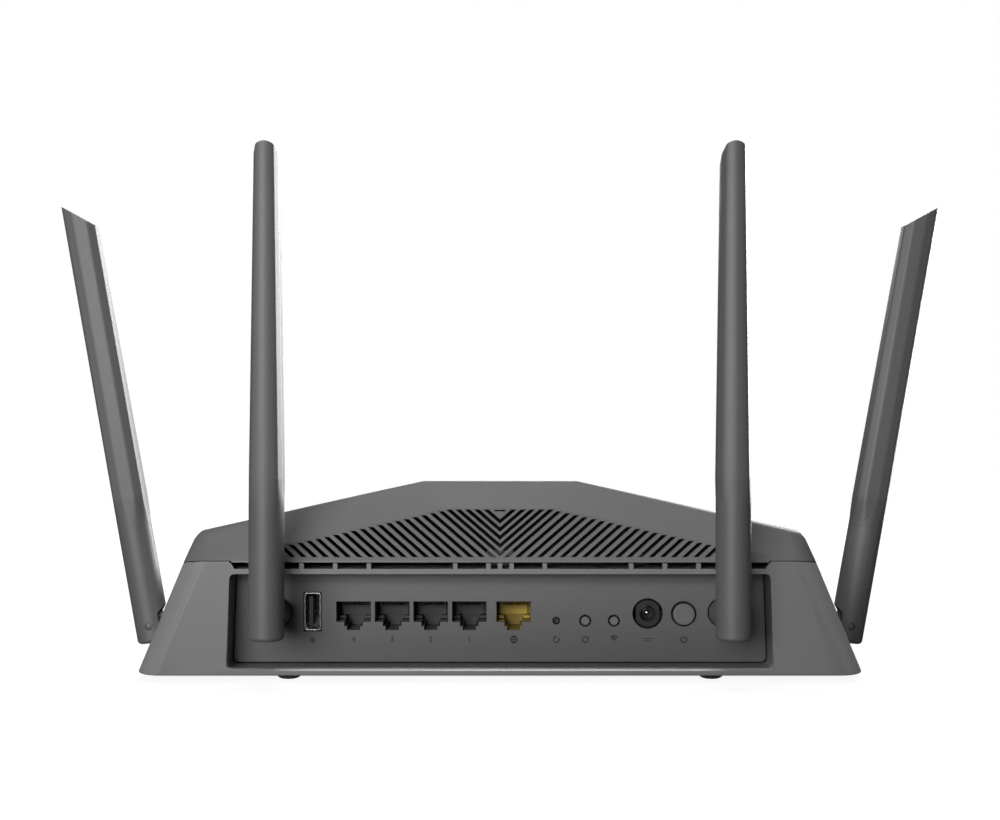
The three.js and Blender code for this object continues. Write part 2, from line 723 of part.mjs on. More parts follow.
function spun(profile, segments) {
  const points = profile.map(([radius, height]) => point(radius, height));
  return new THREE.LatheGeometry([...points, points[0].clone()], segments).rotateX(Math.PI / 2);
}

function rubberFoot() {
  const top = caseBottom - rest;
  return spun([
    [0, 0],
    [foot.soleRadius, 0],
    [foot.shoulderRadius, foot.shoulder],
    [foot.radius, foot.rim],
    [foot.radius, top],
    [0, top],
  ], 18);
}

function caseScrew() {
  return spun([
    [0, screw.headBottom],
    [screw.headRadius, screw.headBottom],
    [screw.headRadius, screw.headTop],
    [screw.shank, screw.headTop],
    [screw.shank, screw.top],
    [0, screw.top],
  ], 12);
}

function circuitBoard() {
  const frontY = rearY - board.frontDepth;
  const bendY = rearY - straightSideDepth;
  const half = board.halfWidth;
  const shape = new THREE.Shape([
    point(-half, boardRear),
    point(-half, bendY),
    point(-board.frontHalfWidth, frontY),
    point(board.frontHalfWidth, frontY),
    point(half, bendY),
    point(half, boardRear),
  ]);
  const sheet = new THREE.ExtrudeGeometry(shape, { depth: board.thickness, bevelEnabled: false });
  const holes = screwSpots.map(({ x, y }) =>
    rod('z', screw.shank + fit, [0, 20], 12).translate(x, y, 0));
  return cut(sheet.translate(0, 0, board.top - board.thickness), ...holes);
}

function heatSink() {
  const { half, fins, base, top, finWidth } = sink;
  const left = (i) => -half + (i * (2 * half - finWidth)) / (fins - 1);
  const outline = [point(-half, 0), point(half, 0)];
  for (let i = fins - 1; i >= 0; i--) {
    outline.push(point(left(i) + finWidth, top), point(left(i), top));
    if (i > 0) outline.push(point(left(i), base), point(left(i - 1) + finWidth, base));
  }
  return alongY(outline, [-half, half]);
}

// A thin metal box, open underneath, that covers a radio circuit.
function shieldCan() {
  const half = [can.width / 2, can.length / 2];
  const inner = half.map((size) => size - can.sheet);
  const outside = box([-half[0], half[0]], [-half[1], half[1]], [0, can.height]);
  return cut(outside, box([-inner[0], inner[0]], [-inner[1], inner[1]], [-1, can.height - can.sheet]));
}

// A bar of clear plastic from the lamp on the board to the top of the cover.
function lampBar(grow = 0) {
  const y = rearY - lamp.depth;
  const halfWidth = lamp.halfWidth + grow;
  const halfDepth = lamp.halfDepth + grow;
  const from = board.top + lamp.above - grow;
  return box([-halfWidth, halfWidth], [y - halfDepth, y + halfDepth], [from, 80]);
}

// The thin lead from the board to a knuckle, clear of everything on the way.
function antennaLead(places) {
  const path = new THREE.CatmullRomCurve3(places.map(([x, y, z]) => new THREE.Vector3(x, y, z)));
  const section = new THREE.Shape();
  section.absarc(0, 0, cableRadius, 0, 2 * Math.PI, false);
  const options = { steps: 14, curveSegments: 3, extrudePath: path, bevelEnabled: false };
  return new THREE.ExtrudeGeometry(section, options);
}

// ---------------------------------------------------------------- putting it together

add('bottom_case', bottomCase(), 'case');
add('top_cover', topCover(), 'case');
add('socket_panel', socketPanel(), 'panel');

add('lan_jack_block', jackBlock(lanX), 'black');
lanX.forEach((x, i) => {
  add(`lan_contacts_${lanX.length - i}`, jackContacts(), 'gold').position.x = x;
});
add('internet_jack', jackBlock([internetX]), 'amber');
add('internet_contacts', jackContacts(), 'gold').position.x = internetX;
add('usb_shell', usbShell(), 'steel').position.set(usb.x, 0, usb.z);
add('usb_tongue', usbTongue(), 'black').position.set(usb.x, 0, usb.z);
add('power_inlet', powerInlet(), 'black').position.set(inlet.x, 0, inlet.z);
const inletPin = rod('y', 1, [panelBack - inlet.length - 0.5, panelFront - 2], 12);
add('power_inlet_pin', inletPin, 'steel').position.set(inlet.x, 0, inlet.z);

const powerStemEnd = panelBack - powerSwitch.behind - stemReach.power;
const powerCap = {
  radius: powerButton.radius,
  face: panelFront + powerButton.proud,
  flangeRadius: 5,
  stem: squareStem,
  stemEnd: powerStemEnd,
};
add('power_button', pushButton(powerCap), 'case').position.set(powerButton.x, 0, powerButton.z);
add('power_switch', powerSwitchBody(), 'black').position.set(powerButton.x, 0, powerButton.z);
for (const [name, x] of [['pairing', pairX], ['radio', radioX]]) {
  const cap = smallPushButton(smallButton.radius, panelFront + smallButton.proud, 2.7);
  add(`${name}_button`, cap, 'case').position.set(x, 0, smallButton.z);
  add(`${name}_switch`, smallSwitchBody(), 'black').position.set(x, 0, smallButton.z);
}
const resetCap = smallPushButton(resetButton.radius, panelFront - resetButton.sunk, 2);
add('reset_button', resetCap, 'black').position.set(resetButton.x, 0, smallButton.z);
add('reset_switch', smallSwitchBody(), 'black').position.set(resetButton.x, 0, smallButton.z);

add('circuit_board', circuitBoard(), 'green');
const chipTop = onBoard + chip.height;
const padBottom = chipTop + rest;
const padTop = padBottom + pad.thickness;
const square = (half, heights) => box([-half, half], [-half, half], heights);
const processorY = rearY - chip.depth;
add('processor', square(chip.half, [onBoard, chipTop]), 'black').position.y = processorY;
add('thermal_pad', square(pad.half, [padBottom, padTop]), 'pad').position.y = processorY;
add('heat_sink', heatSink(), 'aluminium').position.set(0, processorY, padTop + rest);
for (const [side, x] of [['right', can.x], ['left', -can.x]]) {
  add(`shield_can_${side}`, shieldCan(), 'tin').position.set(x, rearY - can.depth, onBoard);
}
const statusLamp = box([-4, 4], [-1, 1], [onBoard, board.top + lamp.above - 2 * fit]);
add('status_lamp', statusLamp, 'clear').position.y = rearY - lamp.depth;
add('light_pipe', common(lampBar(), caseBody()), 'clear');

for (const { name, x, y } of footSpots) {
  add(`foot_${name}`, rubberFoot(), 'rubber').position.set(x, y, 0);
}
for (const { name, x, y } of screwSpots) {
  add(`screw_${name}`, caseScrew(), 'steel').position.set(x, y, 0);
}

const rearFlange = rearAntenna.behind + recess.depth + panelThickness + fit;
const sideFlange = sideAntenna.x - sideAntenna.flangeX;
for (const [side, sign] of [['right', 1], ['left', -1]]) {
  addAntenna(`rear_${side}`, {
    x: sign * rearAntenna.x,
    y: rearY + rearAntenna.behind,
    z: rearAntenna.z,
    turn: 0,
    lean: 0,
    flangeFront: rearFlange,
  });
  addAntenna(`side_${side}`, {
    x: sign * sideAntenna.x,
    y: rearY - sideAntenna.depth,
    z: sideAntenna.z,
    turn: (-sign * Math.PI) / 2,
    lean: sideAntenna.lean,
    flangeFront: sideFlange,
  });
  const leadStart = board.top + cableRadius + 0.3;
  const rearInner = rearY + rearAntenna.behind - rearFlange - barrel.flange;
  add(`lead_rear_${side}`, antennaLead([
    [sign * 64, rearInner - 28, leadStart],
    [sign * 69, rearInner - 25, leadStart],
    [sign * 77, rearInner - 16, 20],
    [sign * rearAntenna.x, rearInner - 7, rearAntenna.z],
    [sign * rearAntenna.x, rearInner + 3, rearAntenna.z],
  ]), 'cable');
  const sideY = rearY - sideAntenna.depth;
  const sideInner = sideAntenna.flangeX - barrel.flange;
  add(`lead_side_${side}`, antennaLead([
    [sign * 86, sideY - 16, leadStart],
    [sign * 92, sideY - 13, leadStart],
    [sign * 100, sideY - 8, leadStart + 0.6],
    [sign * (board.halfWidth + 2.5), sideY - 3, leadStart + 0.2],
    [sign * (sideInner - 3.5), sideY - 0.2, sideAntenna.z + 0.6],
    [sign * (sideInner + 3), sideY, sideAntenna.z],
  ]), 'cable');
}

export default router;
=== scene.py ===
"""Looks for a wireless router with four folding antennas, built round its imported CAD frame.

Sizes in the functions below are millimetres in the CAD's own frame: +Z up, +Y to the rear of
the router, which faces the camera. Meshes are scaled to metres as they are made.
"""

import json
import math
from contextlib import contextmanager

import bmesh
import bpy
import numpy as np
from mathutils import Matrix, Vector


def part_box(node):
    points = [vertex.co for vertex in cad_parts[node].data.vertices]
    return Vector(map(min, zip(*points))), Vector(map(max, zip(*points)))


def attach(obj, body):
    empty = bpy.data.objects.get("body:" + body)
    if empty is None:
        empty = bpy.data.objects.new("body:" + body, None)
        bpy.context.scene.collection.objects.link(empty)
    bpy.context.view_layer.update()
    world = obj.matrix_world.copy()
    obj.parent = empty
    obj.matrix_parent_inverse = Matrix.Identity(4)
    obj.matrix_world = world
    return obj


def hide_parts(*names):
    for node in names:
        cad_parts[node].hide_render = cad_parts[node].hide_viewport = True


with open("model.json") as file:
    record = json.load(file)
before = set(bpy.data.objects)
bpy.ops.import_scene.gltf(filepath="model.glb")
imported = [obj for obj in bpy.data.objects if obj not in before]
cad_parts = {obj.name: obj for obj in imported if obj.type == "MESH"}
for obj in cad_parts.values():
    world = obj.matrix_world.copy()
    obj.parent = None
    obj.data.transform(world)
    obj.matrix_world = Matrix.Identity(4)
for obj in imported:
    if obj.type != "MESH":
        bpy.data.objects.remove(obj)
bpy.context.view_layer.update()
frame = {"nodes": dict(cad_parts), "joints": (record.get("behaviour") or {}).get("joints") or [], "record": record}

MM = 0.001


# ---- places from the CAD


def span(node):
    """Lowest and highest corner of a CAD node, in millimetres."""
    low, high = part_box(node)
    return low / MM, high / MM


def middle(node):
    low, high = span(node)
    return (low + high) / 2


(_, case_front, case_bottom), (case_half_width, rear_y, _) = span("bottom_case")
panel_back, panel_front = (corner.y for corner in span("socket_panel"))
lan_x = [middle(f"lan_contacts_{number}").x for number in (4, 3, 2, 1)]
internet_x = middle("internet_contacts").x
joints = {joint["name"]: joint for joint in frame["joints"]}


# ---- camera


def add_camera():
    """Level camera straight behind the router, a little above its middle."""
    data = bpy.data.cameras.new("camera")
    data.lens = 50
    data.sensor_width = 36
    camera = bpy.data.objects.new("camera", data)
    distance = 0.490
    height = 0.0965
    camera.location = (0, rear_y * MM + distance, height)
    camera.rotation_euler = (math.radians(90), 0, math.radians(180))
    bpy.context.scene.collection.objects.link(camera)
    bpy.context.scene.camera = camera


add_camera()


# ---- mesh tools


def new_object(name, mesh):
    piece = bpy.data.objects.new(name, mesh)
    bpy.context.scene.collection.objects.link(piece)
    return piece


@contextmanager
def editing(mesh):
    """A mesh as a bmesh, which is written back when the block ends."""
    bm = bmesh.new()
    bm.from_mesh(mesh)
    yield bm
    bm.to_mesh(mesh)
    bm.free()


def from_bmesh(name, bm):
    """An object from a bmesh in millimetres."""
    bmesh.ops.recalc_face_normals(bm, faces=bm.faces)
    mesh = bpy.data.meshes.new(name)
    bm.to_mesh(mesh)
    bm.free()
    return new_object(name, mesh)


def from_faces(name, points, faces):
    mesh = bpy.data.meshes.new(name)
    mesh.from_pydata([tuple(p) for p in points], [], faces)
    mesh.validate()
    return new_object(name, mesh)


def remove(piece):
    mesh = piece.data
    bpy.data.objects.remove(piece)
    bpy.data.meshes.remove(mesh)


def evaluated_mesh(thing):
    graph = bpy.context.evaluated_depsgraph_get()
    return bpy.data.meshes.new_from_object(thing.evaluated_get(graph))


def bake(piece):
    """Turns a piece's modifiers into its mesh."""
    mesh = evaluated_mesh(piece)
    old = piece.data
    piece.modifiers.clear()
    piece.data = mesh
    bpy.data.meshes.remove(old)
    return piece


def combine(piece, tools, operation):
    """Cuts, joins or intersects a piece with each tool, and removes the tools."""
    for tool in tools:
        modifier = piece.modifiers.new("combine", "BOOLEAN")
        modifier.operation = operation
        modifier.solver = "MANIFOLD"
        modifier.object = tool
    bake(piece)
    for tool in tools:
        remove(tool)
    return piece


def cut(piece, *tools):
    return combine(piece, tools, "DIFFERENCE")


def join(piece, *tools):
    return combine(piece, tools, "UNION")


def keep_common(piece, *tools):
    return combine(piece, tools, "INTERSECT")


def merge_flats(piece, degrees=0.4):
    """Merges the triangles of each flat face, so that bevels run cleanly."""
    with editing(piece.data) as bm:
        bmesh.ops.remove_doubles(bm, verts=bm.verts, dist=0.004)
        limit = math.radians(degrees)
        bmesh.ops.dissolve_limit(bm, angle_limit=limit, verts=bm.verts, edges=bm.edges)
    return piece


def soften(piece, width, segments=2, angle=35):
    """Rounds a piece's edges that are sharper than an angle."""
    modifier = piece.modifiers.new("soften", "BEVEL")
    modifier.width = width
    modifier.segments = segments
    modifier.limit_method = "ANGLE"
    modifier.angle_limit = math.radians(angle)
    modifier.miter_outer = "MITER_ARC"
    return bake(piece)


def box(x, y, z):
    points = [(a, b, c) for a in x for b in y for c in z]
    faces = [(0, 1, 3, 2), (4, 6, 7, 5), (0, 4, 5, 1), (2, 3, 7, 6), (0, 2, 6, 4), (1, 5, 7, 3)]
    return from_faces("box", points, faces)


ALONG = {  # places two coordinates across an axis and one along it
    "x": lambda a, b, c: (c, a, b),
    "y": lambda a, b, c: (a, c, b),
    "z": lambda a, b, c: (a, b, c),
}


def prism(outline, low, high, axis="y"):
    """An outline carried along an axis. It is given in x, z for y, in y, z for x, in x, y for z."""
    count = len(outline)
    points = [ALONG[axis](a, b, c) for c in (low, high) for a, b in outline]
    faces = [tuple(range(count)), tuple(range(count, 2 * count))]
    for i in range(count):
        j = (i + 1) % count
        faces.append((i, j, j + count, i + count))
    piece = from_faces("prism", points, faces)
    with editing(piece.data) as bm:
        bmesh.ops.recalc_face_normals(bm, faces=bm.faces)
    return piece


def circle(centre, radius, steps=48, start=0, end=360):
    """Points of an arc, with the end left out when it is a whole circle."""
    whole = abs(end - start) >= 360
    count = steps if whole else steps + 1
    points = []
    for i in range(count):
        angle = math.radians(start + (end - start) * i / steps)
        points.append((centre[0] + radius * math.cos(angle), centre[1] + radius * math.sin(angle)))
    return points


def quarter_round(steps):
    """Steps of a quarter round: a share of its radius that grows to 1, and one that falls to 0."""
    for step in range(steps + 1):
        angle = math.pi / 2 * step / steps
        yield 1 - math.cos(angle), 1 - math.sin(angle)


def rounded(corners, steps=4):
    """An outline whose corners, given as (x, y, radius), are rounded."""
    points = []
    count = len(corners)
    for i, (x, y, radius) in enumerate(corners):
        here = Vector((x, y))
        before = Vector(corners[i - 1][:2]) - here
        after = Vector(corners[(i + 1) % count][:2]) - here
        if radius <= 0:
            points.append((x, y))
            continue
        half = before.angle(after) / 2
        reach = min(radius / math.tan(half), before.length * 0.49, after.length * 0.49)
        start = here + before.normalized() * reach
        finish = here + after.normalized() * reach
        for step in range(steps + 1):
            t = step / steps
            points.append(tuple((1 - t) ** 2 * start + 2 * t * (1 - t) * here + t * t * finish))
    return points


def rounded_box_outline(half_x, half_z, radius, centre):
    corners = [(-half_x, -half_z), (half_x, -half_z), (half_x, half_z), (-half_x, half_z)]
    return rounded([(x + centre[0], z + centre[1], radius) for x, z in corners])


def lofted(rings):
    """A closed skin over rings of points. A ring of one point is a pole; other end rings get caps."""
    bm = bmesh.new()
    made = [[bm.verts.new(p) for p in ring] for ring in rings]
    for lower, upper in zip(made, made[1:]):
        count = max(len(lower), len(upper))
        for i in range(count):
            j = (i + 1) % count
            if len(lower) == 1:
                bm.faces.new((lower[0], upper[i], upper[j]))
            elif len(upper) == 1:
                bm.faces.new((lower[i], lower[j], upper[0]))
            else:
                bm.faces.new((lower[i], lower[j], upper[j], upper[i]))
    for end in (made[0], made[-1]):
        if len(end) > 1:
            bm.faces.new(end)
    return from_bmesh("loft", bm)


def spun(profile, axis="z", segments=64):
    """A profile of (radius, place) points turned round an axis; it starts and ends on the axis."""
    rings = []
    for radius, place in profile:
        around = circle((0, 0), radius, segments) if radius > 0 else [(0, 0)]
        rings.append([ALONG[axis](u, v, place) for u, v in around])
    return lofted(rings)


def rod(radius, low, high, axis, segments):
    return spun([(0, low), (radius, low), (radius, high), (0, high)], axis, segments)


def moved(piece, x=0, y=0, z=0):
    piece.data.transform(Matrix.Translation((x, y, z)))
    return piece


def gathered(pieces):
    """Several separate bodies in one object."""
    first, *others = pieces
    with editing(first.data) as bm:
        for other in others:
            bm.from_mesh(other.data)
    for other in others:
        remove(other)
    return first


def from_curve(name, curve, side, place):
    """A flat curve's mesh, stood up at a place along y. On side -1 it reads right from the rear."""
    drawn = new_object(name, curve)
    mesh = evaluated_mesh(drawn)
    bpy.data.objects.remove(drawn)
    bpy.data.curves.remove(curve)
    mesh.transform(Matrix(((side, 0, 0, 0), (0, 0, -side, place), (0, 1, 0, 0), (0, 0, 0, 1))))
    with editing(mesh) as bm:
        bmesh.ops.remove_doubles(bm, verts=bm.verts, dist=0.001)
        bmesh.ops.recalc_face_normals(bm, faces=bm.faces)
    return new_object(name, mesh)


def copy_of(node):
    """A copy of a CAD node's mesh, in millimetres, with its shared corners merged."""
    copy = new_object(f"{node}_copy", frame["nodes"][node].data.copy())
    copy.data.materials.clear()
    copy.data.transform(Matrix.Scale(1 / MM, 4))
    with editing(copy.data) as bm:
        bmesh.ops.remove_doubles(bm, verts=bm.verts, dist=0.002)
    return copy


def finish_piece(piece, name, slot, stands_for=(), smooth=35, body="root", look=None):
    """Scales a piece to metres, shades it, and gives it its name, its body and the slot's look.

    Edges sharper than the smooth angle stay sharp. A look of its own goes before the slot's.
    """
    piece.name = name
    piece.data.name = name
    piece.data.transform(Matrix.Scale(MM, 4))
    piece.data.materials.clear()
    piece.data.materials.append(LOOKS[look or slot])
    piece.data.shade_smooth()
    piece.data.set_sharp_from_angle(angle=math.radians(smooth))
    weighted = piece.modifiers.new("even shading", "WEIGHTED_NORMAL")
    weighted.keep_sharp = True
    bake(piece)
    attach(piece, body)
    if stands_for:
        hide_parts(*stands_for)
    return piece


# ---- materials


class Recipe:
    """A node material under construction: the principled shader, and short ways to feed it."""

    def __init__(self, name, roughness, constants=None):
        self.material = bpy.data.materials.new(name)
        self.material.use_nodes = True
        self.nodes = self.material.node_tree.nodes
        self.links = self.material.node_tree.links
        self.shader = self.nodes["Principled BSDF"]
        self.place = self.nodes.new("ShaderNodeTexCoord").outputs["Object"]
        self.feed(self.shader, {"Roughness": roughness, **(constants or {})})

    def feed(self, node, inputs):
        """Sets a node's inputs to constants, or links them to other nodes' outputs."""
        for name, value in inputs.items():
            if isinstance(value, bpy.types.NodeSocket):
                self.links.new(value, node.inputs[name])
            else:
                node.inputs[name].default_value = value
        return node

    def add(self, kind, inputs):
        return self.feed(self.nodes.new(f"ShaderNode{kind}"), inputs)

    def stretched(self, factors):
        """The place, stretched along the axes, for brushed marks and fibres."""
        return self.add("Mapping", {"Scale": factors, "Vector": self.place}).outputs["Vector"]

    def noise(self, grain, detail=2.0, place=None):
        """Noise whose features are about a grain, in millimetres, across."""
        inputs = {"Scale": 1 / (grain * MM), "Detail": detail, "Vector": place or self.place}
        return self.add("TexNoise", inputs).outputs["Fac"]

    def spread(self, source, low, high, start=0.3, finish=0.7):
        """A value that runs from low to high as the source runs from start to finish."""
        inputs = {"Value": source, "From Min": start, "From Max": finish, "To Min": low, "To Max": high}
        return self.add("MapRange", inputs).outputs["Result"]

    def blend(self, factor, first, second, how="MIX"):
        node = self.nodes.new("ShaderNodeMix")
        node.data_type = "RGBA"
        node.blend_type = how
        self.feed(node, {0: factor, 6: first, 7: second})  # the sockets for colours
        return node.outputs[2]

    def colour(self, source):
        self.feed(self.shader, {"Base Color": source})

    def roughness(self, source):
        self.feed(self.shader, {"Roughness": source})

    def bump(self, source, height, strength=1.0, after=None):
        """Adds a bump of a height in millimetres, on top of an earlier one."""
        node = self.add("Bump", {"Distance": height * MM, "Strength": strength, "Height": source})
        if after:
            self.feed(node, {"Normal": after})
        self.feed(self.shader, {"Normal": node.outputs["Normal"]})
        return node.outputs["Normal"]

    def worn_edges(self, width):
        """A value that is high along outer edges and 0 elsewhere, from the mesh's own curvature."""
        return self.spread(self.add("NewGeometry", {}).outputs["Pointiness"], 0, width, 0.53, 0.62)

    def mottle(self, source, first, second, height, strength, roughness=None, share=1):
        """Lets one source drive the colour and the relief, and the roughness where it has a range."""
        self.colour(self.blend(self.spread(source, 0, share), first, second))
        if roughness:
            self.roughness(self.spread(source, *roughness))
        self.bump(source, height, strength)
        return self.material


def grey(value, warmth=0.0):
    return (value * (1 + warmth), value, value * (1 - warmth), 1)


def moulded_plastic(name, shade, roughness, grain=0.34, depth=0.012, foot=1.0):
    """Moulded plastic with a spark-eroded grain, faint clouds, polished edges and painted shade in its creases.

    With a foot below 1 it grows darker downwards, as far as that share of its shade: painted shade, low on the
    part.
    """
    recipe = Recipe(name, roughness)
    clouds = recipe.noise(38, 3)
    speckle = recipe.noise(grain * 1.6)
    base = recipe.blend(recipe.spread(clouds, 0, 1), grey(shade * 0.96), grey(shade * 1.04))
    dotted = recipe.blend(recipe.spread(speckle, 0, 0.16), base, grey(shade * 1.5))
    shown = recipe.blend(recipe.worn_edges(0.3), dotted, grey(shade * 1.45))
    # painted shade: the colour grows darker towards the bottom of the part
    if foot < 1:
        heights = recipe.add("SeparateXYZ", {0: recipe.place})
        painted_low_shade = recipe.spread(heights.outputs["Z"], foot, 1, 0.008, 0.03)
        shown = recipe.blend(1.0, shown, painted_low_shade, "MULTIPLY")
    # painted shade: ambient occlusion darkens the colour in creases, corners and slots, where shade falls
    painted_occlusion_shade = recipe.add("AmbientOcclusion", {"Distance": 2.5 * MM})
    painted_occlusion_shade.samples = 8
    painted_crease_shade = recipe.spread(painted_occlusion_shade.outputs["AO"], 0.12, 1, 0.15, 0.75)
    recipe.colour(recipe.blend(1.0, shown, painted_crease_shade, "MULTIPLY"))
    recipe.roughness(recipe.spread(speckle, roughness - 0.05, roughness + 0.05))
    first = recipe.bump(recipe.noise(grain), depth, 0.6)
    recipe.bump(recipe.noise(grain * 14), depth * 1.2, 0.25, first)
    return recipe.material


def amber_plastic():
    recipe = Recipe("amber plastic", 0.42)
    deep = (0.16, 0.095, 0.003, 1)
    pale = (0.27, 0.18, 0.008, 1)
    clouds = recipe.noise(5, 3)
    speckle = recipe.noise(0.4)
    base = recipe.blend(recipe.spread(clouds, 0, 1), deep, pale)
    # painted highlight: the socket's edges are coloured bright amber
    recipe.colour(recipe.blend(recipe.worn_edges(0.5), base, (0.5, 0.37, 0.04, 1)))
    recipe.roughness(recipe.spread(speckle, 0.36, 0.5))
    recipe.bump(speckle, 0.01, 0.5)
    return recipe.material


def metal(name, colour, roughness, brushed=(1, 1, 1), grain=0.5, tarnish=0.12):
    """Bare metal with drawn or rolled marks along one axis and a little tarnish."""
    recipe = Recipe(name, roughness, {"Metallic": 1.0})
    marks = recipe.noise(grain, 4, recipe.stretched(brushed))
    stain = recipe.noise(7, 3)
    dull = tuple(c * (1 - tarnish) for c in colour[:3]) + (1,)
    aged = recipe.blend(recipe.spread(stain, 0, 1), colour, dull)
    return recipe.mottle(marks, aged, dull, 0.006, 0.4, (roughness - 0.06, roughness + 0.1), 0.2)


def board_laminate():
    """Green solder mask over copper tracks, which show as paler raised lines."""
    recipe = Recipe("board laminate", 0.38, {"Coat Weight": 0.3})
    inputs = {"Scale": 1 / (9 * MM), "Mortar Size": 0.03, "Vector": recipe.place}
    tracks = recipe.add("TexBrick", inputs)
    tracks.offset = 0.37
    lines = tracks.outputs["Fac"]
    weave = recipe.noise(0.7, 2, recipe.stretched((1, 6, 1)))
    clouds = recipe.spread(recipe.noise(20, 3), 0, 1)
    mask = recipe.blend(clouds, (0.008, 0.06, 0.022, 1), (0.012, 0.085, 0.03, 1))
    recipe.colour(recipe.blend(lines, mask, (0.03, 0.16, 0.06, 1)))
    recipe.roughness(recipe.spread(weave, 0.3, 0.45))
    first = recipe.bump(lines, 0.05, 0.5)
    recipe.bump(weave, 0.01, 0.4, first)
    return recipe.material


def rubber():
    """Soft black rubber with a dusty bloom on its edges."""
    recipe = Recipe("foot rubber", 0.8, {"Sheen Weight": 0.15})
    dust = recipe.noise(2.2, 4)
    recipe.colour(recipe.blend(recipe.spread(dust, 0, 0.6), grey(0.018), grey(0.045, 0.04)))
    recipe.roughness(recipe.spread(dust, 0.7, 0.9))
    recipe.bump(recipe.noise(0.25), 0.02, 0.5)
    return recipe.material


def thermal_pad():
    """A soft grey-blue gap filler with a printed weave."""
    recipe = Recipe("thermal pad", 0.85)
    fibres = recipe.noise(0.5, 3, recipe.stretched((1, 5, 1)))
    return recipe.mottle(fibres, (0.2, 0.25, 0.31, 1), (0.3, 0.35, 0.42, 1), 0.04, 0.5)


def clear_plastic():
    """A frosted light pipe: cloudy acrylic that passes light."""
    recipe = Recipe("clear plastic", 0.32, {"Transmission Weight": 0.55, "IOR": 1.49})
    frost = recipe.noise(0.4, 3)
    pale = (0.66, 0.7, 0.72, 1)
    return recipe.mottle(frost, pale, (0.82, 0.86, 0.88, 1), 0.01, 0.4, (0.25, 0.45))


def cable_jacket():
    """Thin coaxial cable with a glossy extruded jacket."""
    recipe = Recipe("cable jacket", 0.4)
    streaks = recipe.noise(0.5, 3, recipe.stretched((1, 0.2, 1)))
    return recipe.mottle(streaks, grey(0.012), grey(0.03), 0.02, 0.4, (0.32, 0.5))


def printed_ink():
    """Dark pad-printed ink, thinner towards its worn specks."""
    recipe = Recipe("printed ink", 0.55)
    return recipe.mottle(recipe.noise(0.22, 3), grey(0.012), grey(0.03), 0.004, 0.5, share=0.5)


LOOKS = {
    "case_plastic": moulded_plastic("case plastic", 0.13, 0.5),
    # the foot darkens the panel's lower part: painted shade
    "panel_plastic": moulded_plastic("panel plastic", 0.118, 0.55, grain=0.3, foot=0.62),
    # a darker copy of the case plastic: painted shade on the antennas, which the lamps light more than the case
    "painted_shade_antenna_plastic": moulded_plastic("antenna plastic with painted shade", 0.105, 0.5),
    "black_plastic": moulded_plastic("black plastic", 0.015, 0.38, grain=0.25, depth=0.006),
    "amber_plastic": amber_plastic(),
    "gold_contacts": metal("gold contacts", (0.85, 0.58, 0.22, 1), 0.25, (1, 0.2, 1), 0.3),
    "steel": metal("steel", (0.72, 0.72, 0.73, 1), 0.18, (1, 0.15, 1), 0.4),
    "tin_plate": metal("tin plate", (0.58, 0.58, 0.57, 1), 0.34, (0.15, 1, 1), 0.5, 0.2),
    "aluminium": metal("aluminium", (0.66, 0.67, 0.68, 1), 0.38, (1, 0.12, 1), 0.6),
    "board_laminate": board_laminate(),
    "thermal_pad": thermal_pad(),
    "clear_plastic": clear_plastic(),
    "rubber": rubber(),
    "copper": metal("copper", (0.8, 0.42, 0.25, 1), 0.35, (1, 1, 0.1), 0.5, 0.3),
    "cable_jacket": cable_jacket(),
    "ink": printed_ink(),
}


# ---- case and cover

CORNER_RADIUS = 10
SIDE_SLOPE = 0.415  # how far the sides lean in for each millimetre of height
JOINT_HEIGHT = 43.2  # of the line between the two halves
SKIN_MARGIN = 0.16  # the smooth skin runs this far inside the CAD's facets


def case_corners():
    """Corner points of the whole case with the radius that its edges are rounded to there."""
    corners = []

    def half(height):
        return case_half_width - SIDE_SLOPE * (height - case_bottom)

    def both(x, setback, z, edge):
        for side in (1, -1):
            corners.append((Vector((side * x, rear_y - setback, z)), edge))

    def arc(height, setback, radius, edge, spread=0.0):
        for back, inward in quarter_round(14):
            both(half(height) + spread - radius * inward, setback + radius * back, height, edge)

    arc(case_bottom, 0, CORNER_RADIUS, 0.4)
    arc(JOINT_HEIGHT, 0, CORNER_RADIUS, 1.2)
    arc(52.45, 8.2, 6, 6.5, 0.45)  # shoulder of the cover
    both(19.6, 9.2, 61.3, 0.8)  # top of the vent's face
    both(26.1, 18, 71.1, 2.2)  # ridge
    both(half(case_bottom), 75, case_bottom, 0.4)  # where the straight sides end
    both(half(33), 75, 33, 3.4)
    both(76, 150, case_bottom, 0.4)  # front corners
    both(68, 150, 27, 3)
    corners.append((Vector((0, case_front, case_bottom)), 0.4))
    corners.append((Vector((0, case_front + 7, 28)), 3))
    return corners


def hull_of(points):
    bm = bmesh.new()
    for p in points:
        bm.verts.new(p)
    result = bmesh.ops.convex_hull(bm, input=bm.verts)
    inner = result["geom_interior"] + result["geom_unused"]
    spare = {e for e in inner if isinstance(e, bmesh.types.BMVert)}
    bmesh.ops.delete(bm, geom=list(spare), context="VERTS")
    return from_bmesh("hull", bm)


def case_skin():
    """A convex skin of the case whose edges are rounded with each corner's own radius.

    Each corner becomes a ball that touches all the faces which meet there.
    """
    corners = case_corners()
    sharp = merge_flats(hull_of([corner for corner, _ in corners]), 1.2)
    bm = bmesh.new()
    bm.from_mesh(sharp.data)
    bm.normal_update()
    ball = bmesh.new()
    bmesh.ops.create_icosphere(ball, subdivisions=3, radius=1)
    points = []
    for vertex in bm.verts:
        radius = min(corners, key=lambda c: (c[0] - vertex.co).length)[1]
        normals = []
        for face in vertex.link_faces:
            if all((face.normal - n).length > 0.02 for n in normals):
                normals.append(face.normal.copy())
        reach = np.full(len(normals), radius + SKIN_MARGIN)
        centre = vertex.co - Vector(np.linalg.lstsq(np.array(normals), reach, rcond=None)[0])
        points += [centre + radius * v.co for v in ball.verts]
    ball.free()
    bm.free()
    remove(sharp)
    return merge_flats(hull_of(points), 0.15)


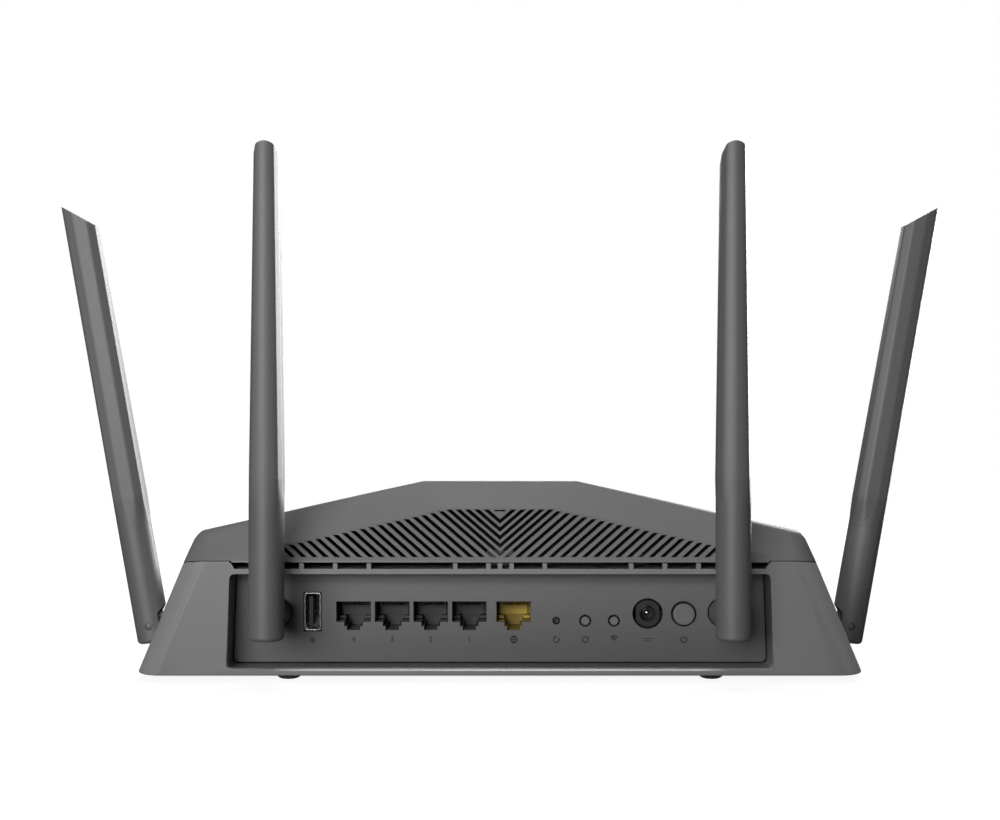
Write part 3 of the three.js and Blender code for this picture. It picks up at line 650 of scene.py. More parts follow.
SLOT_FLAT = 17.4  # half width of the level run of slot tops
VENT_SETBACK = 0.508  # how far the vent's face leans forwards for each millimetre up
SLOT_BOTTOM = 44.6
SLOT_TOP = 60.6
SLOT_TOP_FALL = 0.2162  # how fast the slots' tops fall beyond that run
SLOT_LEAN = 1.215  # how far a slot runs outwards for each millimetre up
SLOT_WIDTH = 1.55
SLOT_PITCH = 3.94
FIRST_SLOT = 1.6
CHEVRONS = 5
LOWEST_CHEVRON = 44.9
CHEVRON_PITCH = 2.76


def side_slot(x, grow):
    """One sloping slot of the vent, on the right side, widened all round."""

    def top_at(place):
        return SLOT_TOP - SLOT_TOP_FALL * max(0, place - SLOT_FLAT)

    top = top_at(x)
    for _ in range(4):
        top = top_at(x + SLOT_LEAN * (top - SLOT_BOTTOM))
    low = SLOT_BOTTOM - grow
    high = top + grow
    side = grow * math.hypot(1, SLOT_LEAN)
    left = x - side
    right = x + SLOT_WIDTH + side
    corners = [(left, low), (right, low), (right, high), (left, high)]
    return [(across + SLOT_LEAN * (z - SLOT_BOTTOM), z) for across, z in corners]


def chevron_slot(low, grow):
    rise = SLOT_WIDTH / SLOT_LEAN
    drop = grow * math.hypot(1, SLOT_LEAN) / SLOT_LEAN
    lowest = low - drop
    inner = low + rise + drop
    top = SLOT_TOP + grow
    outer_x = SLOT_LEAN * (top - lowest)
    inner_x = SLOT_LEAN * (top - inner)
    return [(0, lowest), (outer_x, top), (inner_x, top), (0, inner), (-inner_x, top), (-outer_x, top)]


RECESS_SILL = 4.9  # height of the recess's lower edge
SILL_END = 80  # how far out that edge is rounded
SILL_ROUND = [(-1.2, 0.3), (-1.2, 0.02), (-0.6, -0.12), (-0.2, -0.42), (0, -0.9), (0.3, -1), (0.3, 0.3)]


def slot_mouths():
    """Cutters that widen every vent slot a little and break its sharp edge on the leaning face."""
    widen = 0.13
    edge = 0.1
    rise = 0.2
    through = 6

    def on_face(outline, out):
        return [(x, rear_y - VENT_SETBACK * (z - JOINT_HEIGHT) + out, z) for x, z in outline]

    pairs = []
    for i in range(CHEVRONS):
        low = LOWEST_CHEVRON + i * CHEVRON_PITCH
        pairs.append((chevron_slot(low, widen), chevron_slot(low, widen + edge + rise)))
    x = FIRST_SLOT
    while side_slot(x, 0)[2][1] - SLOT_BOTTOM > 1:
        pair = (side_slot(x, widen), side_slot(x, widen + edge + rise))
        pairs.append(pair)
        pairs.append(tuple([(-u, z) for u, z in reversed(outline)] for outline in pair))
        x += SLOT_PITCH
    return gathered([
        lofted([on_face(tight, -through), on_face(tight, -edge), on_face(wide, rise)])
        for tight, wide in pairs
    ])


def add_case():
    """Both halves keep every opening of their CAD nodes, inside one smooth skin."""
    lower = keep_common(copy_of("bottom_case"), case_skin())
    soften(lower, 0.35, 2, 40)
    cut(lower, prism([(rear_y + y, RECESS_SILL + z) for y, z in SILL_ROUND], -SILL_END, SILL_END, "x"))
    finish_piece(lower, "case_lower", "case_plastic", ["bottom_case"], 15)
    cover = keep_common(copy_of("top_cover"), case_skin())
    cut(cover, slot_mouths())
    finish_piece(cover, "case_cover", "case_plastic", ["top_cover"], 15)


# ---- socket panel

PANEL_CORNER = 2
PANEL_SLANT = 0.033
ROUND_HOLES = {  # radius of the hole round each piece
    "power_inlet_pin": 5.5, "power_button": 4.55, "pairing_button": 2.16, "radio_button": 2.16,
    "reset_button": 1.39, "knuckle_rear_right": 5.37, "knuckle_rear_left": 5.37,
}
HOLE_EDGE = 0.16  # rounding of the panel's edges
JACK_HALF = 6.23
JACK_TOP = 27.1
JACK_LEDGE = 19.8
LATCH_STEPS = ((3.35, 18.2), (2.375, 16.8))  # half width and floor of the latch's two steps


def jack_outline(x, grow=0.0):
    """The opening of one network socket, with the stepped way for the plug's latch below it."""
    corners = [(JACK_HALF + grow, JACK_TOP + grow), (JACK_HALF + grow, JACK_LEDGE - grow)]
    floor = JACK_LEDGE
    for half, lower in LATCH_STEPS:
        corners += [(half + grow, floor - grow), (half + grow, lower - grow)]
        floor = lower
    right = [(x + dx, z) for dx, z in corners]
    left = [(x - dx, z) for dx, z in reversed(corners)]
    return right + left


def plate_with_holes(outline, holes):
    """The panel's flat plate, cut through by holes, with its edges rounded."""
    curve = bpy.data.curves.new("plate", "CURVE")
    curve.dimensions = "2D"
    curve.fill_mode = "BOTH"
    curve.extrude = (panel_front - panel_back) / 2 - HOLE_EDGE
    curve.bevel_depth = HOLE_EDGE
    curve.bevel_resolution = 3
    curve.offset = -HOLE_EDGE
    for points in [outline] + holes:
        spline = curve.splines.new("POLY")
        spline.points.add(len(points) - 1)
        for point, (x, z) in zip(spline.points, points):
            point.co = (x, z, 0, 1)
        spline.use_cyclic_u = True
    return from_curve("plate", curve, 1, (panel_back + panel_front) / 2)


def add_panel():
    """The panel, whose ends lean in a little towards the top."""
    low, high = span("socket_panel")
    lean = PANEL_SLANT * (high.z - low.z)
    corners = [(low.x, low.z), (high.x, low.z), (high.x - lean, high.z), (low.x + lean, high.z)]
    outline = rounded([(x, z, PANEL_CORNER) for x, z in corners])
    holes = [jack_outline(x) for x in lan_x + [internet_x]]
    for node, radius in ROUND_HOLES.items():
        place = middle(node)
        holes.append(circle((place.x, place.z), radius))
    low, high = span("usb_shell")
    half = (high - low) / 2
    place = middle("usb_shell")
    holes.append(rounded_box_outline(half.x + 0.3, half.z + 0.3, 0.5, (place.x, place.z)))
    panel = plate_with_holes(outline, holes)
    finish_piece(panel, "rear_panel", "panel_plastic", ["socket_panel"], 25)


# ---- sockets


def add_jack(name, node, centres, contact_nodes, slot):
    """A block of sockets: each has a back plate, two ledges for the plug's shoulders and contacts."""
    low, high = span(node)
    front = high.y
    depth = 11.3
    block = box((low.x, high.x), (low.y, front), (low.z, high.z))
    for x in centres:
        cut(block, prism(jack_outline(x, -0.12), front - depth, front + 1))
    seams = []
    for left, right in zip(centres[1:], centres):
        seam = (left + right) / 2
        seams.append(box((seam - 0.12, seam + 0.12), (front - 0.35, front + 1), (low.z + 0.6, high.z + 1)))
    if seams:
        cut(block, *seams)
    soften(block, 0.1, 2, 40)
    finish_piece(block, name, slot, [node], 30)
    for x, contacts in zip(centres, contact_nodes):
        tag = contacts.split("_")[-1] if len(centres) > 1 else "wan"
        finish_piece(jack_insert(x, front, depth), f"socket_insert_{tag}", slot, smooth=30)
        pins = jack_pins(x, front, depth)
        finish_piece(pins, f"spring_contacts_{tag}", "gold_contacts", [contacts], 40)


CONTACT_PITCH = 1.02


def jack_insert(x, front, depth):
    """The moulded insert at the back of a socket: a comb between the contacts over two ledges."""
    back = front - depth + 0.05
    roof = JACK_TOP - 0.25
    floor = JACK_LEDGE + 0.25
    plate = box((x - 5.1, x + 5.1), (back, back + 1.2), (floor + 0.85, roof - 0.05))
    parts = [box((x - 6, x + 6), (back, back + 3.2), (roof - 0.95, roof))]
    for side in (-1, 1):
        inner, outer = sorted((x + side * 3.6, x + side * 5.9))
        parts.append(box((inner, outer), (back, back + 5.5), (floor, floor + 0.9)))
    for i in range(9):
        rib = x + (i - 4) * CONTACT_PITCH
        parts.append(box((rib - 0.16, rib + 0.16), (back + 1, back + 4.2), (roof - 1.35, roof - 0.55)))
    return soften(join(plate, *parts), 0.08, 1, 40)


def jack_pins(x, front, depth):
    """Eight sprung wires that come forward under the roof of a socket and bend down and back."""
    high = JACK_TOP - 0.55
    path = [(front - depth + 4.4, high - 0.35), (front - 2.7, high - 0.35)]
    path += [(front - 2.0, high - 0.75), (front - 2.4, high - 1.15), (front - 8.0, high - 1.9)]
    wires = []
    for i in range(8):
        centre = x + (i - 3.5) * CONTACT_PITCH
        wires.append(prism(strip_outline(path, 0.17), centre - 0.23, centre + 0.23, "x"))
    return gathered(wires)


def strip_outline(path, half):
    """The outline of a strip of an even thickness along a bent path in y and z."""
    points = [Vector(p) for p in path]
    left = []
    right = []
    for i, p in enumerate(points):
        before = (p - points[i - 1]).normalized() if i else (points[1] - p).normalized()
        after = (points[i + 1] - p).normalized() if i < len(points) - 1 else before
        along = (before + after).normalized()
        across = Vector((-along.y, along.x)) * half / max(0.4, along.dot(before))
        left.append(tuple(p + across))
        right.append(tuple(p - across))
    return left + right[::-1]


def add_sockets():
    contacts = [f"lan_contacts_{number}" for number in (4, 3, 2, 1)]
    add_jack("lan_sockets", "lan_jack_block", lan_x, contacts, "black_plastic")
    add_jack("internet_socket", "internet_jack", [internet_x], ["internet_contacts"], "amber_plastic")


def add_usb_shell(low, high, centre):
    """A folded steel shell with two spring leaves on each side."""
    half = (high - low) / 2
    sheet = 0.38
    spot = (centre.x, centre.z)
    outside = rounded_box_outline(half.x, half.z, 0.75, spot)
    inside = rounded_box_outline(half.x - sheet, half.z - sheet, 0.45, spot)
    shell = prism(outside, low.y, high.y)
    cut(shell, prism(inside, low.y + sheet, high.y + 1))
    slot = 0.24
    leaf = 1.1  # half width
    leaf_end = high.y - 3.5
    for side in (-1, 1):
        for z in (centre.z - 3.1, centre.z + 3.1):
            face = centre.x + side * half.x
            wall = (face - 1, face + 1)
            slots = [
                box(wall, (low.y + 4, leaf_end), (edge - slot / 2, edge + slot / 2))
                for edge in (z - leaf, z + leaf)
            ]
            slots.append(box(wall, (leaf_end - slot, leaf_end), (z - leaf, z + leaf)))
            cut(shell, *slots)
    soften(shell, 0.11, 2, 40)
    finish_piece(shell, "usb_shell_folded", "steel", ["usb_shell"], 35)


def add_usb():
    """The USB socket's shell, and in it a tongue with four contacts, the outer two longer."""
    shell_low, shell_high = span("usb_shell")
    centre = (shell_low + shell_high) / 2
    front = shell_high.y
    add_usb_shell(shell_low, shell_high, centre)
    low, high = span("usb_tongue")
    tongue = box((low.x, high.x), (low.y, low.y + 3), (low.z, high.z))
    blade = (centre.x + 0.05, centre.x + 1.55)
    join(tongue, box(blade, (low.y + 2, front - 2.1), (low.z + 0.9, high.z - 0.9)))
    pins = []
    for i in range(4):
        z = centre.z + (i - 1.5) * 2.35
        cut(tongue, box((centre.x - 0.1, centre.x + 0.2), (low.y + 3.5, front - 3), (z - 0.62, z + 0.62)))
        reach = front - (3.1 if i in (0, 3) else 4.1)
        back = low.y + 3.6
        corners = [(-0.28, back, 0), (0.16, back, 0), (0.16, reach, 0.1), (-0.02, reach, 0.1)]
        corners += [(-0.28, reach - 1.6, 0.6)]
        outline = rounded([(centre.x + x, y, radius) for x, y, radius in corners])
        pins.append(prism(outline, z - 0.5, z + 0.5, "z"))
    soften(tongue, 0.1, 2, 40)
    finish_piece(tongue, "usb_tongue_moulding", "black_plastic", ["usb_tongue"], 30)
    finish_piece(gathered(pins), "usb_contacts", "gold_contacts", smooth=40)


def add_power_inlet():
    """A round nose with flat sides, a countersunk bore and a domed pin."""
    low, high = span("power_inlet")
    place = middle("power_inlet_pin")
    front = high.y
    bore = 2.3
    depth = front - 10
    nose = spun([
        (0, panel_back - 3), (5.1, panel_back - 3), (5.1, front - 0.35), (4.75, front), (2.95, front),
        (bore, front - 0.9), (bore, depth), (0, depth),
    ], "y", 72)
    moved(nose, place.x, 0, place.z)
    keep_common(nose, box((low.x, high.x), (panel_back - 4, front + 1), (low.z - 1, place.z + 6)))
    body = box((low.x, high.x), (low.y, panel_back - 0.1), (low.z, high.z - 0.2))
    cut(body, moved(rod(bore, depth, front + 1, "y", 48), place.x, 0, place.z))
    join(body, nose)
    soften(body, 0.12, 2, 45)
    finish_piece(body, "power_inlet_moulding", "black_plastic", ["power_inlet"], 30)
    pin_low, pin_high = span("power_inlet_pin")
    tip = pin_high.y
    profile = [(0, pin_low.y), (0.98, pin_low.y), (0.98, tip - 0.9), (0.86, tip - 0.4)]
    profile += [(0.6, tip - 0.1), (0.3, tip), (0, tip)]
    pin = moved(spun(profile, "y", 32), place.x, 0, place.z)
    finish_piece(pin, "power_pin", "steel", ["power_inlet_pin"], 50)


# ---- buttons


def add_button(name, radius, slot):
    """A turned cap with a softly rounded face, the flange that keeps it in, and its stem."""
    low, high = span(name)
    place = middle(name)
    face = high.y
    stem = 0.85
    flange = (high.x - low.x) / 2
    flange_front = panel_back - 0.3
    flange_back = flange_front - 1.2
    edge = min(0.35, radius * 0.2)
    dish = 0.05
    profile = [(0, low.y), (stem, low.y), (stem, flange_back), (flange, flange_back)]
    profile += [(flange, flange_front), (radius, flange_front)]
    profile += [(radius - edge * inward, face - edge * below) for inward, below in quarter_round(5)]
    profile += [(radius * 0.6, face - dish * 0.6), (radius * 0.25, face - dish), (0, face - dish)]
    cap = moved(spun(profile, "y", 64), place.x, 0, place.z)
    finish_piece(cap, f"{name}_cap", slot, [name], 40, name)


def add_buttons():
    add_button("power_button", 3.9, "case_plastic")
    add_button("pairing_button", 1.55, "case_plastic")
    add_button("radio_button", 1.55, "case_plastic")
    add_button("reset_button", 1.05, "black_plastic")


# ---- antennas

ANTENNAS = ("rear_right", "rear_left", "side_right", "side_left")
PIN_RADIUS = 1.13
PIN_GAP = 0.3
PIN_END = 5.85
BARREL_RADIUS = 5.07
BARREL_END = 7.6
FLANGE_RADIUS = 6.6
FLANGE_DEPTH = 2
WIRE_WAY = 1.6
TAB_RADIUS = 5
TAB_ROOT = 4.4
TAB_HALF = 2.2
FORK_HALF = 2.5
FORK_REACH = 5.3
FORK_NOTCH = -3.6
FORK_NOTCH_TOP = 4.3
ANTENNA_BOTTOM = -6.8
ANTENNA_OFFSET = 0.2
ROUND_WIDTH = 12.5
ROUND_DEPTH = 13.2
ROUND_END = 38
BLADE_START = 50
BREADTH = (13.0, 12.6)  # of the blade, at its start and at its tip, as the next three
THICKNESS = (12.1, 8.6)
EDGE = (9.4, 6.35)
BULGE = (1.5, 1.2)
ANTENNA_END = 168
ANTENNA_MARGIN = 0.13  # the smooth antenna runs this far inside the CAD's facets
BOTTOM_FILLET = 1.5
FACET_STEPS = (8, 12, 10, 9, 6)  # points along each part of half a section
FACET_TURNS = (45, 45, 22.5, 45, 22.5)  # degrees of the round section that each part comes from
TIP_SLOPE = math.tan(math.radians(38.9))
TIP_HEIGHT = 166.08  # where the slanted tip meets the outer edge
OUTER_EDGE = 6.3  # how far that edge stands out from the middle of the blade
TRIM = {"rear": (0.6, 0.7), "side": (0.0, 0.0)}  # how much shorter each antenna is, bottom and tip


def turned_frame(name):
    """The frame of an antenna's knuckle: the pin at the origin along x, and y away from the case."""
    fold = joints[f"antenna_{name}_fold"]
    axis = fold["axis"]
    turn = math.atan2(-axis[1], -axis[0])
    return Matrix.Translation(Vector(fold["pos_m"]) / MM) @ Matrix.Rotation(turn, 4, "Z")


def leaning_frame(name):
    """The frame of the antenna itself, with z along it. It leans out by the fold that it lacks."""
    lean = math.radians(-joints[f"antenna_{name}_fold"]["range_deg"][0])
    return turned_frame(name) @ Matrix.Rotation(-lean, 4, "X")


def mix(a, b, t):
    return a + (b - a) * t


def blade_half(breadth, thickness, edge, bulge):
    """Half of the blade's section from its outer edge: a bulge, three flat facets, an inner edge."""
    w = thickness / 2
    d = breadth / 2
    points = [Vector((edge / 2 * step / 8, d - bulge * (step / 8) ** 2)) for step in range(9)]
    facets = [(w, 0.24 * d), (w, -0.52 * d), (0.64 * w, -0.98 * d), (0, -d)]
    corners = [points[-1]] + [Vector(corner) for corner in facets]
    for start, finish, count in zip(corners, corners[1:], FACET_STEPS[1:]):
        points += [start.lerp(finish, step / count) for step in range(1, count + 1)]
    for _ in range(2):
        triples = zip(points, points[1:], points[2:])
        smoothed = [(before + 2 * here + after) / 4 for before, here, after in triples]
        points = [points[0]] + smoothed + [points[-1]]
    return points


def round_half(w, d):
    """Half of the round section, with as many points towards each facet as the blade has."""
    points = [Vector((0, d))]
    angle = 0.0
    for turn, count in zip(FACET_TURNS, FACET_STEPS):
        for _ in range(count):
            angle += math.radians(turn) / count
            points.append(Vector((w * math.sin(angle), d * math.cos(angle))))
    return points


def antenna_ring(height, shrink=0.0):
    """One ring of an antenna's skin: round near the hinge, and a faceted blade above the scoop."""
    run = max(0.0, (height - BLADE_START) / (ANTENNA_END - BLADE_START))
    scoop = min(1.0, max(0.0, (height - ROUND_END) / (BLADE_START - ROUND_END)))
    blade = scoop * scoop * (3 - 2 * scoop)
    inset = ANTENNA_MARGIN + shrink
    breadth, thickness, edge = (mix(*ends, run) - 2 * inset for ends in (BREADTH, THICKNESS, EDGE))
    faceted = blade_half(breadth, thickness, edge, mix(*BULGE, run))
    turned = round_half(ROUND_WIDTH / 2 - inset, ROUND_DEPTH / 2 - inset)
    side = [start.lerp(end, blade) for start, end in zip(turned, faceted)]
    other = [Vector((-p.x, p.y)) for p in reversed(side[1:-1])]
    return [(p.x, p.y + ANTENNA_OFFSET, height) for p in side + other]


def antenna_skin(bottom):
    rings = []
    for risen, inward in quarter_round(5):
        rings.append(antenna_ring(bottom + 0.1 + BOTTOM_FILLET * risen, BOTTOM_FILLET * inward))
    steps = 12
    rings += [antenna_ring(mix(ROUND_END, BLADE_START, step / steps)) for step in range(steps + 1)]
    rings.append(antenna_ring(ANTENNA_END))
    return lofted(rings)


def fork_cutters():
    """Fine rounds for the fork: its inner slot, its notched bottom corner and the pin's hole."""
    away = -20
    slot = [(away, away), (FORK_REACH, away)]
    slot += circle((0, 0), FORK_REACH + 0.02, 24, 0, 90) + [(away, FORK_REACH)]
    radius = -ANTENNA_BOTTOM - 0.1
    start = math.degrees(math.atan2(-math.sqrt(radius**2 - FORK_NOTCH**2), FORK_NOTCH))
    notch = [(away, FORK_NOTCH_TOP + FORK_NOTCH - away), (FORK_NOTCH, FORK_NOTCH_TOP)]
    notch += circle((0, 0), radius, 20, start, -90) + [(0, away), (away, away)]
    hole = rod(PIN_RADIUS + PIN_GAP + 0.01, -10, 10, "x", 40)
    return [prism(slot, -FORK_HALF, FORK_HALF, "x"), prism(notch, -15, 15, "x"), hole]


def antenna_shell(name):
    """A CAD antenna with its facets replaced by a smooth skin and its fork by smooth rounds."""
    place = leaning_frame(name)
    bottom_trim, tip_trim = TRIM[name.split("_")[0]]
    skin = antenna_skin(ANTENNA_BOTTOM + bottom_trim)
    outer = ANTENNA_OFFSET + 6.3
    outer = ANTENNA_OFFSET + OUTER_EDGE
    tip = TIP_HEIGHT - tip_trim
    reach = 30
    above = TIP_HEIGHT + reach * 2
    slope = [(outer + side * reach, tip + side * reach * TIP_SLOPE) for side in (1, -1)]
    slope += [(outer - reach, above), (outer + reach, above)]
    cutters = fork_cutters() + [prism(slope, -20, 20, "x")]
    for tool in (skin, *cutters):
        tool.data.transform(place)
    shell = keep_common(copy_of(f"antenna_{name}"), skin)
    cut(shell, *cutters)
    return shell


def knuckle_body(name):
    """A barrel that turns in the case, with a flange inside it and a tab for the hinge pin."""
    place = turned_frame(name)
    corners = [place.inverted() @ corner for corner in span(f"knuckle_{name}")]
    end = min(corner.y for corner in corners)
    step = end + FLANGE_DEPTH
    radius = BARREL_RADIUS
    profile = [(0, end), (FLANGE_RADIUS, end), (FLANGE_RADIUS, step), (radius, step)]
    profile += [(radius, -BARREL_END - 0.6), (radius - 0.18, -BARREL_END - 0.18)]
    profile += [(radius - 0.6, -BARREL_END), (0, -BARREL_END)]
    barrel = spun(profile, "y", 72)
    root = -BARREL_END - 2
    outline = [(root, TAB_ROOT), (root, -TAB_ROOT)] + circle((0, 0), TAB_RADIUS, 28, -90, 90)
    tab = soften(prism(outline, -TAB_HALF, TAB_HALF, "x"), 0.3, 3, 40)
    join(barrel, tab)
    wire_way = rod(WIRE_WAY, end - 1, root + 0.5, "y", 32)
    cut(barrel, wire_way, rod(PIN_RADIUS + PIN_GAP / 2, -9, 9, "x", 32))
    barrel.data.transform(place)
    return barrel


def hinge_pin(name):
    """A pin whose flush heads nearly fill the holes in the fork."""
    head = PIN_RADIUS + 0.22
    neck = TAB_HALF + 0.8
    half = [(0, -PIN_END), (head - 0.2, -PIN_END), (head, 0.15 - PIN_END)]
    half += [(head, -neck), (PIN_RADIUS, -neck)]
    pin = spun(half + [(radius, -place) for radius, place in reversed(half)], "x", 32)
    pin.data.transform(leaning_frame(name))
    return pin


def add_antennas():
    # the antennas take the darker copy of the case plastic, a painted shade
    look = "painted_shade_antenna_plastic"
    for name in ANTENNAS:
        antenna = f"antenna_{name}"
        shell = soften(antenna_shell(name), 0.25, 2, 42)
        finish_piece(shell, f"antenna_shell_{name}", "case_plastic", [antenna], 24, antenna, look)
        finish_piece(knuckle_body(name), f"knuckle_body_{name}", "case_plastic",
                     [f"knuckle_{name}"], 30, f"swivel_{name}", look)
        finish_piece(hinge_pin(name), f"pin_{name}", "case_plastic",
                     [f"hinge_pin_{name}"], 40, antenna, look)


# ---- printed marks

INK_DEPTH = 0.03
MARK_HEIGHT = 13.4
STROKE = 0.48


def printed(outline):
    """A patch of ink on the panel. Across runs to the right as the sockets are looked at."""
    return prism([(-across, up) for across, up in outline], panel_front - 0.01, panel_front + INK_DEPTH)


def arc_stroke(radius, start, end, squeeze=1.0, centre=0.0):
    """A bent stroke round the mark's middle line, squeezed sideways for a globe's meridian."""
    outer = circle((0, 0), radius + STROKE / 2, 28, start, end)
    inner = circle((0, 0), radius - STROKE / 2, 28, start, end)
    return printed([(across * squeeze, up + centre) for across, up in outer + inner[::-1]])


def ring_stroke(radius, squeeze=1.0):
    return [arc_stroke(radius, 90, 270, squeeze), arc_stroke(radius, -90, 90, squeeze)]


def bar(across, up, width, height):
    left = across - width / 2
    low = up - height / 2
    return printed([(left, low), (left + width, low), (left + width, low + height), (left, low + height)])


def arrow_head(across, up, direction, size=0.5):
    points = []
    for angle in (0, 125, -125):
        turned = math.radians(direction + angle)
        points.append((across + size * math.cos(turned), up + size * math.sin(turned)))
    return printed(points)


def globe_mark():
    return ring_stroke(1.2) + ring_stroke(1.2, 0.48) + [bar(0, 0, 2.3, 0.26), bar(0, 0, 0.26, 2.3)]


def restart_mark():
    return [arc_stroke(1, 120, 400), arrow_head(-0.3, 0.95, 15, 0.62)]


def pairing_mark():
    arcs = [arc_stroke(1, 25, 160), arc_stroke(1, 205, 340)]
    return arcs + [arrow_head(1, 0.25, -70, 0.6), arrow_head(-1, -0.25, 110, 0.6)]


def radio_mark():
    source = printed(circle((0, -0.75), 0.24, 20))
    return [source] + [arc_stroke(radius, 48, 132, centre=-0.75) for radius in (0.8, 1.42, 2.04)]


def direct_current_mark():
    return [bar(0, 0.35, 2.8, 0.34)] + [bar(across, -0.4, 0.66, 0.34) for across in (-1.07, 0, 1.07)]


def power_mark():
    return [arc_stroke(1.05, 125, 415), bar(0, 0.72, 0.34, 1.35)]


def plug_mark():
    prongs = [bar(across, 0.65, 0.38, 0.7) for across in (-0.45, 0.45)]
    return [bar(0, -0.3, 1.7, 1.3), bar(0, -1.2, 0.4, 0.6)] + prongs


def number_mark(number):
    """A plain number in the program's own letters."""
    curve = bpy.data.curves.new("number", "FONT")
    curve.body = str(number)
    curve.size = 2.7
    curve.offset = 0.1
    curve.extrude = INK_DEPTH / 2
    curve.align_x = "CENTER"
    curve.align_y = "CENTER"
    return [from_curve("number", curve, -1, panel_front + INK_DEPTH / 2)]


def add_marks():
    """Numbers under the four ganged sockets, and plain pictograms under everything else."""
    marks = [(f"socket_{number}", f"lan_contacts_{number}", number_mark(number)) for number in (4, 3, 2, 1)]
    marks += [
        ("internet", "internet_contacts", globe_mark()),
        ("restart", "reset_button", restart_mark()),
        ("pairing", "pairing_button", pairing_mark()),
        ("radio", "radio_button", radio_mark()),
        ("direct_current", "power_inlet_pin", direct_current_mark()),
        ("power", "power_button", power_mark()),
        ("plug", "usb_shell", plug_mark()),
    ]
    for name, node, strokes in marks:
        mark = moved(gathered(strokes), middle(node).x, 0, MARK_HEIGHT)
        finish_piece(mark, f"mark_{name}", "black_plastic", smooth=30, look="ink")


# ---- feet, screws and inner parts

CORNERS = ("rear_right", "rear_left", "front_right", "front_left")


def add_feet():
    for corner in CORNERS:
        node = f"foot_{corner}"
        low, high = span(node)
        place = middle(node)
        radius = (high.x - low.x) / 2 - 0.05
        side = [(mix(1, 0.55, inward) * radius, 2.1 * up) for up, inward in quarter_round(8)]
        profile = [(0, 0)] + side + [(radius, high.z), (0, high.z)]
        foot = moved(spun(profile, "z", 56), place.x, place.y)
        finish_piece(foot, f"rubber_{node}", "rubber", [node], 40)


def add_screws():
    """Pan-head screws with a cross recess, sunk in the underside of the case."""
    head_height = 2.2
    shank = 1.35
    pitch = 1.1
    for corner in CORNERS:
        node = f"screw_{corner}"
        low, high = span(node)
        place = middle(node)
        radius = (high.x - low.x) / 2
        head_top = low.z + head_height
        profile = [(0, low.z), (radius * 0.55, low.z), (radius * 0.85, low.z + 0.35)]
        profile += [(radius, low.z + 1), (radius, head_top), (shank, head_top)]
        for turn in range(int((high.z - head_top - 3) / pitch)):
            z = head_top + 1 + turn * pitch
            profile += [(shank, z), (shank - 0.3, z + pitch * 0.3), (shank, z + pitch * 0.6)]
        profile += [(shank * 0.4, high.z), (0, high.z)]
        screw = spun(profile, "z", 40)
        depth = (low.z - 1, low.z + 1.1)
        cut(screw, box((-1.4, 1.4), (-0.3, 0.3), depth), box((-0.3, 0.3), (-1.4, 1.4), depth))
        moved(screw, place.x, place.y)
        finish_piece(screw, f"cross_{node}", "steel", [node], 35)


def add_light_pipe():
    """The clear bar that carries the status light to the cover, with rounded edges."""
    pipe = merge_flats(copy_of("light_pipe"))
    soften(pipe, 0.25, 3, 40)
    finish_piece(pipe, "light_pipe_bar", "clear_plastic", ["light_pipe"], 30)


def add_heat_sink():
    """An extruded heat sink whose fins taper and have rounded tips."""
    low, high = span("heat_sink")
    base = 2
    fins = 8
    width = 1.2
    sink = box((low.x, high.x), (low.y, high.y), (low.z, low.z + base))
    for i in range(fins):
        x = low.x + i * (high.x - low.x - width) / (fins - 1)
        root = low.z + base - 0.2
        corners = [(x, root, 0), (x + width, root, 0)]
        corners += [(x + width - 0.15, high.z, 0.3), (x + 0.15, high.z, 0.3)]
        join(sink, prism(rounded(corners), low.y, high.y))
    finish_piece(sink, "heat_sink_extrusion", "aluminium", ["heat_sink"], 35)


def dress_cad_nodes():
    """Gives each CAD part that still shows the look of its slot in the record."""
    for row in frame["record"]["subparts"]:
        for slot in frame["nodes"][row["node"]].material_slots:
            slot.material = LOOKS[row["material_slot"]]


# ---- floor, backdrop and light

DOME_RADIUS = 9
FLOOR_RADIUS = 0.8


def unlit_by(thing):
    """Leaves a stage piece to the camera alone, so that it lights and shades nothing."""
    for rays in ("diffuse", "glossy", "transmission", "shadow"):
        setattr(thing, f"visible_{rays}", False)


def stage_white(name, diffuse, glow):
    constants = {
        "Base Color": grey(diffuse),
        "Specular IOR Level": 0,
        "Emission Color": grey(1),
        "Emission Strength": glow,
    }
    return Recipe(name, 0.9, constants)


def add_floor():
    """A pale round floor that glows more towards its edge, where no lamp reaches."""
    rim = [(x, y, 0) for x, y in circle((0, 0), FLOOR_RADIUS, 96)]
    floor = from_faces("floor", rim, [tuple(range(96))])
    recipe = stage_white("floor white", 0.2, 0.9)
    away = recipe.add("VectorMath", {0: recipe.place})
    away.operation = "LENGTH"
    glow = recipe.spread(away.outputs["Value"], 0.9, 1, 0.2, FLOOR_RADIUS)
    recipe.feed(recipe.shader, {"Emission Strength": glow})
    floor.data.materials.append(recipe.material)
    unlit_by(floor)


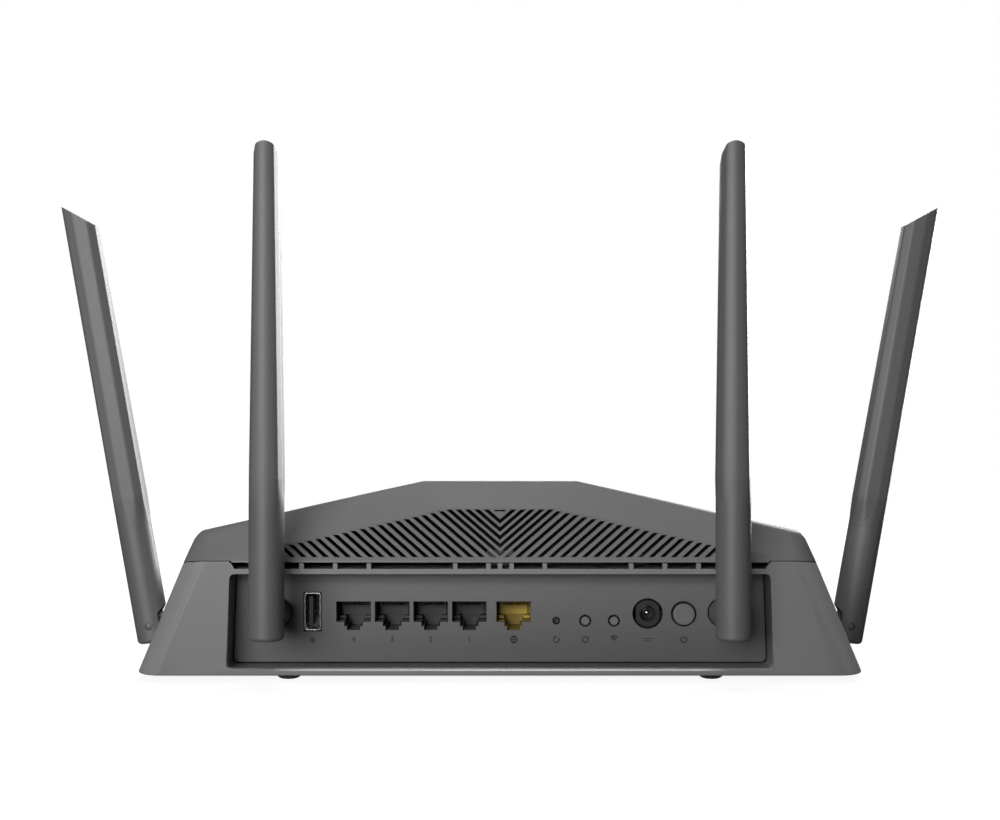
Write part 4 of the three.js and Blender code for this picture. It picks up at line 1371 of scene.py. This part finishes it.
def add_backdrop():
    bm = bmesh.new()
    bmesh.ops.create_uvsphere(bm, u_segments=48, v_segments=24, radius=DOME_RADIUS)
    dome = from_bmesh("backdrop", bm)
    dome.data.materials.append(stage_white("backdrop white", 0, 1).material)
    unlit_by(dome)


def add_softbox(name, place, size, power, aim=(0, 0.05, 0.05)):
    light = bpy.data.lights.new(name, "AREA")
    light.shape = "RECTANGLE"
    light.size, light.size_y = size
    light.energy = power
    softbox = bpy.data.objects.new(name, light)
    softbox.location = place
    softbox.rotation_euler = (Vector(aim) - Vector(place)).to_track_quat("-Z", "Y").to_euler()
    softbox.visible_camera = False
    bpy.context.scene.collection.objects.link(softbox)
    return softbox


def only_on(softbox, names):
    """Lets a lamp light only the named pieces."""
    lit = bpy.data.collections.new(f"lit by the {softbox.name}")
    for name in names:
        lit.objects.link(bpy.data.objects[name])
    softbox.light_linking.receiver_collection = lit


def add_lights():
    """A soft key, a rim for the antennas, a strip for the case's lower half, and two weak lamps."""
    add_softbox("key", (0.38, 0.98, 0.26), (0.7, 0.4), 9.2)
    shells = [f"antenna_shell_{name}" for name in ANTENNAS]
    only_on(add_softbox("rim", (-0.6, -0.7, 0.3), (0.35, 0.6), 16), shells)
    only_on(add_softbox("edge strip", (0, 0.1, 0.4), (0.4, 0.04), 4, (0, 0.085, 0)), ["case_lower"])
    add_softbox("top", (0, 0.1, 0.9), (0.5, 0.15), 2.2, (0, 0.06, 0))
    add_softbox("back", (-0.3, -0.9, 0.6), (1, 0.6), 11)
    world = bpy.data.worlds.new("studio")
    world.use_nodes = True
    background = world.node_tree.nodes["Background"].inputs
    background["Color"].default_value = grey(1)
    background["Strength"].default_value = 0.06
    bpy.context.scene.world = world


# ---- everything together

add_case()
add_panel()
add_sockets()
add_usb()
add_power_inlet()
add_buttons()
add_antennas()
add_marks()
add_feet()
add_screws()
add_light_pipe()
add_heat_sink()
dress_cad_nodes()
add_floor()
add_backdrop()
add_lights()
bpy.context.scene.view_settings.view_transform = "Standard"
